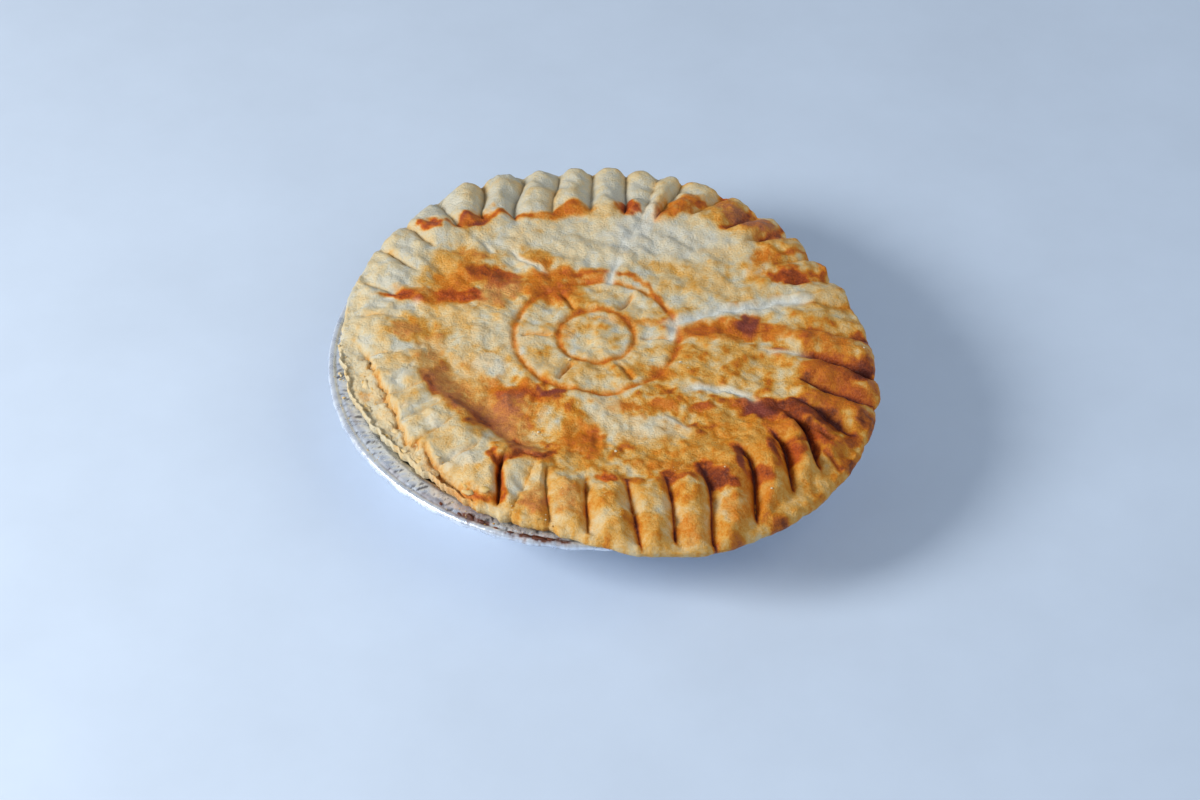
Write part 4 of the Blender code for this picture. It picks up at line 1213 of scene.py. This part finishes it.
class POTPIE_OT_flakes(bpy.types.Operator):
    """Lay the torn flakes of crust along the ledge"""

    bl_idname = "pot_pie.flakes"
    bl_label = "Flakes"

    def execute(self, context):
        settings = context.scene.pot_pie_bits
        draw = random.Random(settings.seed + 1)

        def add_all(bm, layer):
            for scatter in FLAKE_SCATTER:
                for where in scattered(draw, scatter):
                    add_flake(bm, layer, draw, where)

        stops = [(0.0, settings.pale), (0.45, settings.baked), (0.9, settings.burnt)]
        lumps_piece("crust_flakes", "pastry_crust", crumb_material("crust_flake", stops, 0.7, 0.2), add_all)
        return {"FINISHED"}


class POTPIE_OT_juice(bpy.types.Operator):
    """Put the lumps of baked-on juice on the flange"""

    bl_idname = "pot_pie.juice"
    bl_label = "Baked-on juice"

    def execute(self, context):
        settings = context.scene.pot_pie_bits
        draw = random.Random(settings.seed + 2)

        def add_all(bm, layer):
            for x, y, half, turn in JUICE_LUMPS:
                size = (half, 0.34 * half + 0.2, 0.3)
                add_lump(bm, layer, draw, (x, y), size, 0.2, draw.uniform(0.0, 0.5), turn)

        stops = [(0.0, settings.juice), (1.0, settings.burnt)]
        lumps_piece("baked_juice", "pastry_crust", crumb_material("baked_juice", stops, 0.35, 0.5), add_all)
        return {"FINISHED"}


class StageSettings(bpy.types.PropertyGroup):
    """Floor, light and camera."""

    floor_colour: FloatVectorProperty(
        name="Floor", description="Colour of the plain floor", default=(0.64, 0.75, 0.90), subtype="COLOR")
    sky_colour: FloatVectorProperty(
        name="Room light", description="Colour of the room", default=(0.80, 0.88, 1.0), subtype="COLOR")
    sky_strength: FloatProperty(
        name="Room light strength", description="Strength of the light all round", default=0.32)
    window_power: FloatProperty(name="Window power", description="Power of the soft light", default=11.0)
    fill_power: FloatProperty(name="Fill power", description="Power of the light at the right", default=4.2)
    camera_place: FloatVectorProperty(
        name="Camera place", description="Where the camera stands", default=(0.002, -0.6887, 0.6547),
        subtype="XYZ", unit="LENGTH")
    camera_aim: FloatVectorProperty(
        name="Camera aim", description="What the camera looks at", default=(0.002, 0.002, 0.006),
        subtype="XYZ", unit="LENGTH")
    camera_roll: FloatProperty(
        name="Camera roll", description="How far it leans", default=math.radians(1.287), unit="ROTATION")
    camera_lens: FloatProperty(name="Focal length", description="Focal length in millimetres", default=85.0)
    camera_shift: FloatProperty(
        name="Camera shift", description="Sideways shift of the frame", default=2.33 / 1200.0, precision=5)


def floor_material(settings):
    """Plain pale floor with a trace of unevenness."""
    made, tree, shader = new_material("stage_floor")
    grains = grain(tree, 0.05)
    darker = [0.94 * channel for channel in settings.floor_colour]
    colour = ramp(tree, grains["Mottle"], [(0.3, darker), (0.7, settings.floor_colour)])
    tree.links.new(colour, shader.inputs["Base Color"])
    shader.inputs["Roughness"].default_value = 0.5
    return made


def area_light(name, place, size, power, colour):
    """A large soft light aimed at the object."""
    data = bpy.data.lights.new(name, "AREA")
    data.shape = "DISK"
    data.size = size
    data.energy = power
    data.color = colour
    light = bpy.data.objects.new(name, data)
    light.location = place
    light.rotation_euler = (-Vector(place)).to_track_quat("-Z", "Y").to_euler()
    bpy.context.scene.collection.objects.link(light)


class POTPIE_OT_stage(bpy.types.Operator):
    """Build the plain floor, the soft lights and the camera"""

    bl_idname = "pot_pie.stage"
    bl_label = "Stage"

    def execute(self, context):
        settings = context.scene.pot_pie_stage
        bm = bmesh.new()
        bmesh.ops.create_grid(bm, x_segments=1, y_segments=1, size=3.0)
        mesh = bpy.data.meshes.new("stage_floor")
        bm.to_mesh(mesh)
        bm.free()
        mesh.materials.append(floor_material(settings))
        floor = bpy.data.objects.new("stage_floor", mesh)
        context.scene.collection.objects.link(floor)

        area_light("window", (-0.87, -0.30, 0.55), 0.40, settings.window_power, (1.0, 0.98, 0.95))
        area_light("fill", (0.85, -0.2, 0.85), 1.2, settings.fill_power, (0.85, 0.92, 1.0))
        world = bpy.data.worlds.new("room")
        world.use_nodes = True
        background = world.node_tree.nodes["Background"]
        background.inputs["Color"].default_value = (*settings.sky_colour, 1.0)
        background.inputs["Strength"].default_value = settings.sky_strength
        context.scene.world = world
        context.scene.view_settings.view_transform = "Standard"

        data = bpy.data.cameras.new("camera")
        data.lens = settings.camera_lens
        data.sensor_width = 36.0
        data.shift_x = settings.camera_shift
        data.clip_start = 0.01
        camera = bpy.data.objects.new("camera", data)
        where, aim = Vector(settings.camera_place), Vector(settings.camera_aim)
        look = (aim - where).to_track_quat("-Z", "Y").to_matrix()
        turn = look @ Matrix.Rotation(settings.camera_roll, 3, "Z")
        camera.matrix_world = Matrix.Translation(where) @ turn.to_4x4()
        context.scene.collection.objects.link(camera)
        context.scene.camera = camera
        return {"FINISHED"}


class POTPIE_PT_panel(bpy.types.Panel):
    """Lists the pieces of the pie"""

    bl_label = "Pot Pie"
    bl_idname = "POTPIE_PT_panel"
    bl_space_type = "VIEW_3D"
    bl_region_type = "UI"
    bl_category = "Pot Pie"

    def draw(self, context):
        for settings in ("pot_pie_crust", "pot_pie_tin", "pot_pie_bits", "pot_pie_stage"):
            box = self.layout.box()
            group = getattr(context.scene, settings)
            for name in group.bl_rna.properties.keys():
                if name not in ("rna_type", "name"):
                    box.prop(group, name)
        for operator in OPERATORS:
            self.layout.operator(operator)


OPERATORS = (
    "pot_pie.crust", "pot_pie.tin", "pot_pie.crumbs", "pot_pie.flakes", "pot_pie.juice", "pot_pie.stage")
CLASSES = (
    CrustSettings, TinSettings, BitsSettings, StageSettings, POTPIE_OT_crust, POTPIE_OT_tin, POTPIE_OT_crumbs,
    POTPIE_OT_flakes, POTPIE_OT_juice, POTPIE_OT_stage, POTPIE_PT_panel)


def register():
    """Adds the settings, the operators and the panel."""
    for item in CLASSES:
        bpy.utils.register_class(item)
    bpy.types.Scene.pot_pie_crust = PointerProperty(type=CrustSettings)
    bpy.types.Scene.pot_pie_tin = PointerProperty(type=TinSettings)
    bpy.types.Scene.pot_pie_bits = PointerProperty(type=BitsSettings)
    bpy.types.Scene.pot_pie_stage = PointerProperty(type=StageSettings)


def unregister():
    """Takes them out again."""
    del bpy.types.Scene.pot_pie_stage
    del bpy.types.Scene.pot_pie_bits
    del bpy.types.Scene.pot_pie_tin
    del bpy.types.Scene.pot_pie_crust
    for item in reversed(CLASSES):
        bpy.utils.unregister_class(item)


def main():
    """Builds every piece in order."""
    register()
    bpy.ops.pot_pie.crust()
    bpy.ops.pot_pie.tin()
    bpy.ops.pot_pie.crumbs()
    bpy.ops.pot_pie.flakes()
    bpy.ops.pot_pie.juice()
    bpy.ops.pot_pie.stage()


if __name__ == "__main__":
    main()
